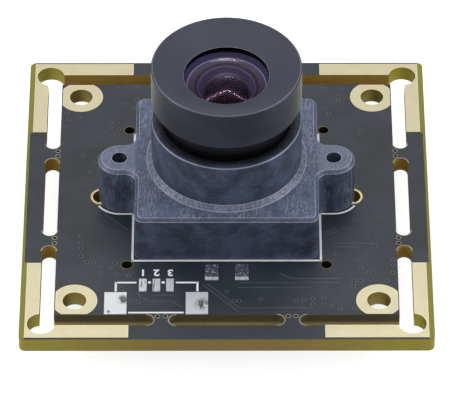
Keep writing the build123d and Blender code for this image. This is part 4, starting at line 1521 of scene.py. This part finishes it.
@dataclass
class BoardRims:
    """Plated rims of the small holes and the marks that the router leaves."""

    locating: float = 9.25
    locating_radius: float = 0.5
    locating_rim: float = 0.12
    ear_slot: Triple = (10.0, 11.7, 0.9)
    ear_rim: float = 0.2
    rise: float = 0.02
    bite_radius: float = 0.19
    bite_rim: float = 0.06
    bite_places: Sequence[float] = (5.63, 6.34)
    bite_line: float = 16.03
    slot_line: float = 16.525
    slot_end_radius: float = 0.675
    slot_rim: float = 0.09
    slot_rise: float = 0.012
    slot_end_places: Sequence[Point] = ((4.625, 1.0), (7.375, -1.0))

    def build(self) -> None:
        """Makes the rims and the bites."""
        rings = []
        slots = []
        inner, outer, radius = self.ear_slot
        middle = radius + self.ear_rim / 2
        corners = [(sx * self.locating, sy * self.locating, 0.0) for sx in (-1, 1) for sy in (-1, 1)]
        for face in Face:
            base, rise = face.level, face.sense * self.rise
            hole = self.locating_radius
            ring = Bench.washer(hole + self.locating_rim, hole, base, rise, 32)
            rings.extend(Bench.copies(ring, corners))
            for side in (-1.0, 1.0):
                end, first = (side * outer, 0.0), -90.0 * side
                slots.append(Bench.arc(end, middle, self.ear_rim, first, 180.0, base, rise))
                for y in (-middle, middle):
                    slots.append(Bench.bar((side * inner, y), (side * outer, y), self.ear_rim, base, rise))
        Bench.release(Bench.join(rings), "locating_hole_rims", Body.BOARD, DULL_RIM, "gold_plating")
        Bench.release(Bench.join(slots), "ear_slot_rims", Body.BOARD, GOLD_RIM, "gold_plating")
        self.bites()
        self.slot_ends()

    def bites(self) -> None:
        """Makes the small drilled bites beside each tab, as dark discs of painted shade with pale rims."""
        places = []
        for along in self.bite_places:
            for sign in (-1.0, 1.0):
                places += [(sign * along, self.bite_line, 0.0), (sign * along, -self.bite_line, 0.0),
                           (self.bite_line, sign * along, 0.0), (-self.bite_line, sign * along, 0.0)]
        shade_discs, rims = [], []
        for face in Face:
            base, rise = face.level, face.sense * self.rise
            shade_discs += Bench.copies(Bench.disc((0.0, 0.0), self.bite_radius, base, rise * PIT_SHARE, 16), places)
            rim = Bench.washer(self.bite_radius + self.bite_rim, self.bite_radius, base, rise, 20)
            rims += Bench.copies(rim, places)
        Bench.release(Bench.join(shade_discs), "tab_bite_shade", Body.BOARD, HOLE_SHADE, "board_laminate")
        Bench.release(Bench.join(rims), "tab_bite_rims", Body.BOARD, PALE_RIM, "board_laminate")

    def slot_ends(self) -> None:
        """Makes the pale rims that the router leaves round the slot ends beside each tab."""
        arcs = []
        radius = self.slot_end_radius + self.slot_rim / 2
        for face in Face:
            base, rise = face.level, face.sense * self.slot_rise
            for sign in (-1.0, 1.0):
                for along, way in self.slot_end_places:
                    first = 0.0 if sign * way > 0 else 180.0
                    for line in (-self.slot_line, self.slot_line):
                        ends = (((sign * along, line), first - 90.0), ((line, sign * along), first))
                        for end, start in ends:
                            arcs.append(Bench.arc(end, radius, self.slot_rim, start, 180.0, base, rise))
        Bench.release(Bench.join(arcs), "slot_end_rims", Body.BOARD, PALE_RIM, "board_laminate")


@dataclass
class BackLands:
    """Gold lands of the back, which repeat those of the front."""

    drop: float = 1.535

    def build(self) -> None:
        """Copies the front lands, merges their triangles and lays them on the back face."""
        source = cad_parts["front_gold_lands"]
        lands = source.copy()
        lands.data = source.data.copy()
        lands.parent = None
        for key in list(lands.keys()):
            del lands[key]
        bpy.context.collection.objects.link(lands)
        lands.data.transform(Matrix.Translation((0.0, 0.0, -self.drop * MM)))
        Bench.open(lands)
        Bench.close(lands, fill=False)
        Bench.release(lands, "back_gold_lands", Body.BOARD, GOLD, "gold_plating")


@dataclass
class Board:
    """The board with its bare metal, copper and print."""

    def build(self) -> None:
        """Makes and dresses all of the board."""
        dress({"circuit_board": MASK, "front_gold_lands": GOLD, "front_tinned_pads": PADS})
        BoardLegend().build()
        BoardCopper(Face.FRONT, FRONT_RUNS, FRONT_VIAS).build()
        BoardCopper(Face.BACK, BACK_RUNS, BACK_VIAS).build()
        BoardRims().build()
        BackLands().build()


# Lens and its holder


@dataclass
class Lens:
    """Barrel, glass and what is seen behind the glass."""

    dome_radius: float = 2.5
    dome_base: float = 11.82
    dome_edge: float = 12.17
    dome_rise: float = 0.85
    dome_steps: int = 14
    ring_radius: float = 2.6
    ring_opening: float = 2.44
    ring_level: float = 13.17
    ring_depth: float = 0.16
    ring_bevel: Point = (0.1, 0.06)
    round_steps: int = 72

    def dome(self) -> None:
        """Turns the second element, whose domed face is seen through the first."""
        reach, edge = self.dome_radius, self.dome_edge
        sphere = (reach**2 + self.dome_rise**2) / (2 * self.dome_rise)
        outline: list[Point] = [(0.0, self.dome_base), (reach, self.dome_base), (reach, edge)]
        for step in range(1, self.dome_steps + 1):
            radius = reach * (1 - step / self.dome_steps)
            outline.append((radius, edge + self.dome_rise - sphere + math.sqrt(sphere**2 - radius**2)))
        piece = Bench.spun(outline, self.round_steps)
        Bench.release(piece, "second_element", Body.STACK, DOME, "optical_glass", 40.0)

    def ring(self) -> None:
        """Turns the narrow ring with a bright break that closes the spacer's opening in; its brightness is
        painted light, a glow that is lighter at the rear.
        """
        top, foot = self.ring_level, self.ring_level - self.ring_depth
        across, down = self.ring_bevel
        outline = [(self.ring_opening, foot), (self.ring_radius, foot), (self.ring_radius, top),
                   (self.ring_opening + across, top), (self.ring_opening, top - down)]
        piece = Bench.spun(outline, self.round_steps)
        Bench.release(piece, "spacer_opening_break", Body.STACK, OPENING, "black_anodised", 30.0)

    def build(self) -> None:
        """Makes and dresses the lens."""
        dress({"lens_barrel": TURNED, "front_lens": FRONT_GLASS, "aperture_spacer": SPACER,
               "rear_lens": REAR_GLASS, "lens_retaining_ring": BLACKED})
        self.dome()
        self.ring()


@dataclass
class Holder:
    """Casting that carries the lens, its screws, and the sensor under it."""

    def build(self) -> None:
        """Dresses the holder, its screws, the filter and the sensor."""
        dress({"lens_holder": CASTING, "holder_screws": SCREW, "infrared_filter": FILTER_GLASS,
               "sensor_package": PACKAGE, "sensor_die": SILICON, "sensor_cover_glass": COVER_GLASS})


# Back of the board


LAP = 0.02  # How far a contact's strip reaches under its part


@dataclass
class Fillets:
    """Pads and solder at the ends of the small parts of the back."""

    cap_half_length: float = 0.8
    cap_width: float = 0.8
    cap_solder: float = 0.45
    cap_columns: float = 6.5
    cap_column_rows: Sequence[float] = (-2.55, -0.85, 0.85, 2.55)
    cap_row_y: float = 7.3
    cap_row_places: Sequence[float] = (-4.4, -2.2, 0.0, 2.2, 4.4)
    chip_half_length: float = 0.5
    chip_width: float = 0.5
    chip_solder: float = 0.22
    chip_row_y: float = -6.2
    chip_row_places: Sequence[float] = (-4.5, -3.0, -1.5, 0.0, 1.5, 3.0, 4.5)
    reach: float = 0.32
    pad_rise: float = 0.03
    hollow: float = 2.2

    def end(self, half_length: float, width: float, rise: float) -> Piece:
        """Makes one pad with a concave slope of solder up the end of a part, drawn at the origin along +X.

        Args:
            half_length: Half of the part's length.
            width: Width of the part.
            rise: Height of the solder up the part.

        Returns:
            The pad with its solder.
        """
        start, stop = (half_length - LAP, 0.0), (half_length + self.reach, 0.0)
        piece = Bench.bar(start, stop, width * 1.1, BOARD_BACK, -rise)
        Bench.open(piece)
        Bench.pick(piece, lambda centre, normal: normal.x > 0.9)
        bpy.ops.mesh.subdivide(number_cuts=2)
        Bench.close(piece)
        low = BOARD_BACK - self.pad_rise
        for vertex in piece.data.vertices:
            out = (vertex.co.x / MM - half_length) / self.reach
            limit = low - (rise - self.pad_rise) * max(0.0, 1.0 - out) ** self.hollow
            vertex.co.z = max(vertex.co.z, limit * MM)
            if out > 0.5:
                vertex.co.y *= 0.9
        return piece

    def build(self) -> None:
        """Makes the solder of every small part."""
        made = []
        caps = [(side * self.cap_columns, y) for side in (-1, 1) for y in self.cap_column_rows]
        caps += [(x, self.cap_row_y) for x in self.cap_row_places]
        chips = [(x, self.chip_row_y) for x in self.chip_row_places]
        for middles, turns, sizes in (
                (caps, (0.0, 180.0), (self.cap_half_length, self.cap_width, self.cap_solder)),
                (chips, (90.0, 270.0), (self.chip_half_length, self.chip_width, self.chip_solder))):
            for turn in turns:
                made += Bench.copies(self.end(*sizes), [(x, y, turn) for x, y in middles])
        Bench.release(Bench.join(made), "small_part_solder", Body.BOARD, SOLDER, "tinned_leads", 40.0)


@dataclass
class ProcessorContacts:
    """Contacts along the four sides of the leadless package, with their solder."""

    half_side: float = 3.5
    per_side: int = 12
    pitch: float = 0.5
    width: float = 0.26
    reach: float = 0.38
    height: float = 0.2
    toe_rise: float = 0.05
    toe_from: float = 0.1

    def contact(self) -> Piece:
        """Makes one contact, drawn at the origin along +X."""
        start, stop = (self.half_side - LAP, 0.0), (self.half_side + self.reach, 0.0)
        contact = Bench.bar(start, stop, self.width, BOARD_BACK, -self.height)
        Bench.open(contact)
        Bench.pick(contact, lambda centre, normal: normal.x > 0.9)
        bpy.ops.transform.resize(value=(1.0, 0.8, 0.3))
        Bench.close(contact)
        low = BOARD_BACK * MM
        for vertex in contact.data.vertices:
            if vertex.co.x > (self.half_side + self.toe_from) * MM:
                on_board = vertex.co.z > low - self.height / 2 * MM
                vertex.co.z = low if on_board else low - self.toe_rise * MM
        return contact

    def build(self) -> None:
        """Copies the contact round the package."""
        places = []
        for quarter in range(4):
            turn = math.radians(90.0 * quarter)
            for index in range(self.per_side):
                slide = (index - (self.per_side - 1) / 2) * self.pitch
                places.append((-slide * math.sin(turn), slide * math.cos(turn), 90.0 * quarter))
        made = Bench.copies(self.contact(), places)
        Bench.release(Bench.join(made), "processor_contacts", Body.BOARD, SOLDER, "tinned_leads")


@dataclass
class BackLegend:
    """White print on the back: corners round the larger parts and their first-contact dots."""

    line: float = 0.14
    rise: float = 0.012
    outlines: Sequence[tuple[float, float, float, float]] = (
        (0.0, 0.0, 8.5, 8.5), (-10.35, 7.15, 5.4, 6.7), (8.9, 5.4, 3.8, 3.1), (-8.75, -5.55, 3.4, 3.3),
        (8.75, -5.55, 3.4, 3.3), (0.0, -9.4, 5.1, 4.7),
    )
    corner_share: float = 0.3
    dots: Sequence[Point] = ((-4.0, 4.0), (-12.6, 3.3), (10.9, 6.6))
    dot_radius: float = 0.2

    def build(self) -> None:
        """Prints the corners and the dots."""
        base = BOARD_BACK
        strokes = []
        for x, y, width, depth in self.outlines:
            length = min(width, depth) * self.corner_share
            for right in (-1, 1):
                for upper in (-1, 1):
                    across, along = x + right * width / 2, y + upper * depth / 2
                    for end in ((across - right * length, along), (across, along - upper * length)):
                        strokes.append(Bench.bar((across, along), end, self.line, base, -self.rise))
        strokes += [Bench.disc(dot, self.dot_radius, base, -self.rise, 20) for dot in self.dots]
        Bench.release(Bench.join(strokes), "back_outline_print", Body.BOARD, INK, "board_laminate")


@dataclass
class BackSide:
    """Parts on the back: packages, small parts and the cable socket."""

    resin_parts: Sequence[str] = ("image_processor", "flash_memory", "regulator_bodies")
    tinned_parts: Sequence[str] = (
        "flash_leads", "regulator_leads", "inductor_terminals", "capacitor_end_caps", "resistor_end_caps",
        "socket_contacts", "socket_anchor_tabs",
    )

    def build(self) -> None:
        """Makes and dresses all of the back."""
        dress(dict.fromkeys(self.resin_parts, RESIN))
        dress(dict.fromkeys(self.tinned_parts, LEAD))
        dress({"crystal_base": PACKAGE, "crystal_lid": LID, "power_inductor": FERRITE,
               "capacitor_bodies": CAPACITOR, "resistor_bodies": RESISTOR, "socket_housing": NYLON})
        for piece in (Fillets(), ProcessorContacts(), BackLegend()):
            piece.build()


# Stage


@dataclass(frozen=True)
class Lamp:
    """A flat soft lamp that looks at the module."""

    name: str
    place: Triple
    size: Point
    watts: float
    unseen_by: tuple[str, ...] = ()
    along: Triple = (1.0, 0.0, 0.0)
    aim_level: float = 5.0

    def hang(self) -> None:
        """Hangs the lamp, its width in the direction that it runs along."""
        Bench.clear()
        spot = Vector(self.place) * MM
        back = (spot - Vector((0.0, 0.0, self.aim_level * MM))).normalized()
        along = Vector(self.along)
        across = (along - along.dot(back) * back).normalized()
        turn = Matrix((across, back.cross(across), back)).transposed().to_euler()
        bpy.ops.object.light_add(type="AREA", location=spot, rotation=turn)
        lamp = bpy.context.object
        lamp.name = self.name
        lamp.data.shape = "RECTANGLE"
        lamp.data.size, lamp.data.size_y = self.size[0] * MM, self.size[1] * MM
        lamp.data.energy = self.watts
        for rays in self.unseen_by:
            setattr(lamp, f"visible_{rays}", False)


BESIDE = ("transmission",)
STRIPS = ("diffuse", "transmission")
LAMPS = (
    Lamp("top lamp", (0.0, 120.0, 420.0), (900.0, 900.0), 1.08),
    Lamp("left lamp", (-420.0, -60.0, 220.0), (260.0, 260.0), 0.75, BESIDE),
    Lamp("right lamp", (420.0, -60.0, 220.0), (260.0, 260.0), 0.75, BESIDE),
    Lamp("left strip", (-58.0, 171.0, 374.0), (146.0, 7.0), 0.12, STRIPS, (122.0, 69.0, -13.0)),
    Lamp("right strip", (58.0, 168.0, 375.0), (136.0, 7.0), 0.11, STRIPS, (110.0, -75.0, 16.0)),
    Lamp("inner strip", (0.0, 400.0, 140.0), (300.0, 16.0), 1.6, ("diffuse", "glossy")),
)


@dataclass
class Stage:
    """White floor, soft lights and the camera at the photograph's angle."""

    floor_level: float = -4.95
    floor_size: float = 3000.0
    floor_colour: Colour = (0.62, 0.62, 0.62)
    floor_grain: Colour = (0.58, 0.58, 0.58)
    floor_glow: float = 0.76
    surround: float = 0.38
    surround_glow: float = 0.62
    white: Colour = (1.0, 1.0, 1.0)
    distance: float = 433.33
    elevation: float = 43.1758
    azimuth: float = -0.1005
    roll: float = 0.0078
    target: Point = (0.5507, -0.4671)
    lens: float = 356.64
    sensor: float = 36.0

    def floor(self) -> None:
        """Lays the floor, which the camera sees white."""
        Bench.clear()
        place = (0.0, 0.0, self.floor_level * MM)
        bpy.ops.mesh.primitive_plane_add(size=self.floor_size * MM, location=place)
        floor = bpy.context.object
        Bench.settle(floor)
        floor.name = "floor"
        material = bpy.data.materials.new("white floor")
        material.use_nodes = True
        material.node_tree.nodes.clear()
        graph = Graph(material.node_tree)
        grain = graph.effect(GRAIN, Place=graph.place(), Size=2.0, Patches=40.0)
        pale = graph.mix(graph.times(grain["Fine"], 0.05), self.floor_colour, self.floor_grain)
        shader = graph.add("BsdfPrincipled", {"Base Color": pale, "Roughness": 0.9})
        seen = graph.add("LightPath").outputs["Is Camera Ray"]
        glow = graph.add("Emission", {"Color": self.white, "Strength": graph.times(seen, self.floor_glow)})
        both = graph.add("AddShader", {0: shader.outputs[0], 1: glow.outputs[0]})
        graph.add("OutputMaterial", {"Surface": both.outputs[0]})
        floor.data.materials.append(material)

    def world(self) -> None:
        """Sets an even pale surround, which the camera sees white."""
        world = bpy.data.worlds.new("pale surround")
        bpy.context.scene.world = world
        world.use_nodes = True
        world.node_tree.nodes.clear()
        graph = Graph(world.node_tree)
        seen = graph.add("LightPath").outputs["Is Camera Ray"]
        strength = graph.scaled(seen, self.surround_glow, self.surround)
        surround = graph.add("Background", {"Color": self.white, "Strength": strength})
        graph.add("OutputWorld", {"Surface": surround.outputs[0]})

    def camera(self) -> None:
        """Sets the camera where the solved view puts it."""
        lift, turn = math.radians(self.elevation), math.radians(self.azimuth)
        back = Vector((math.sin(turn) * math.cos(lift), -math.cos(turn) * math.cos(lift), math.sin(lift)))
        place = Vector((*self.target, 0.0)) + self.distance * back
        right = (-back).cross(Vector((0.0, 0.0, 1.0))).normalized()
        up = right.cross(-back)
        tilt = math.radians(self.roll)
        across = math.cos(tilt) * right + math.sin(tilt) * up
        upward = -math.sin(tilt) * right + math.cos(tilt) * up
        data = bpy.data.cameras.new("photo camera")
        data.sensor_width = self.sensor
        data.lens = self.lens
        data.clip_start = 0.01
        camera = bpy.data.objects.new("photo camera", data)
        bpy.context.scene.collection.objects.link(camera)
        camera.matrix_world = Matrix((
            (across.x, upward.x, back.x, place.x * MM),
            (across.y, upward.y, back.y, place.y * MM),
            (across.z, upward.z, back.z, place.z * MM),
            (0.0, 0.0, 0.0, 1.0),
        ))
        bpy.context.scene.camera = camera

    def build(self) -> None:
        """Sets the whole stage."""
        self.floor()
        self.world()
        for lamp in LAMPS:
            lamp.hang()
        self.camera()
        bpy.context.scene.view_settings.view_transform = "Standard"


def main() -> None:
    """Builds the pieces in order and reports each."""
    logging.basicConfig(level=logging.INFO, format="%(message)s")
    for piece in (Stage(), Board(), Holder(), Lens(), BackSide()):
        piece.build()
        log.info("finished %s", type(piece).__name__)


if __name__ == "__main__":
    main()
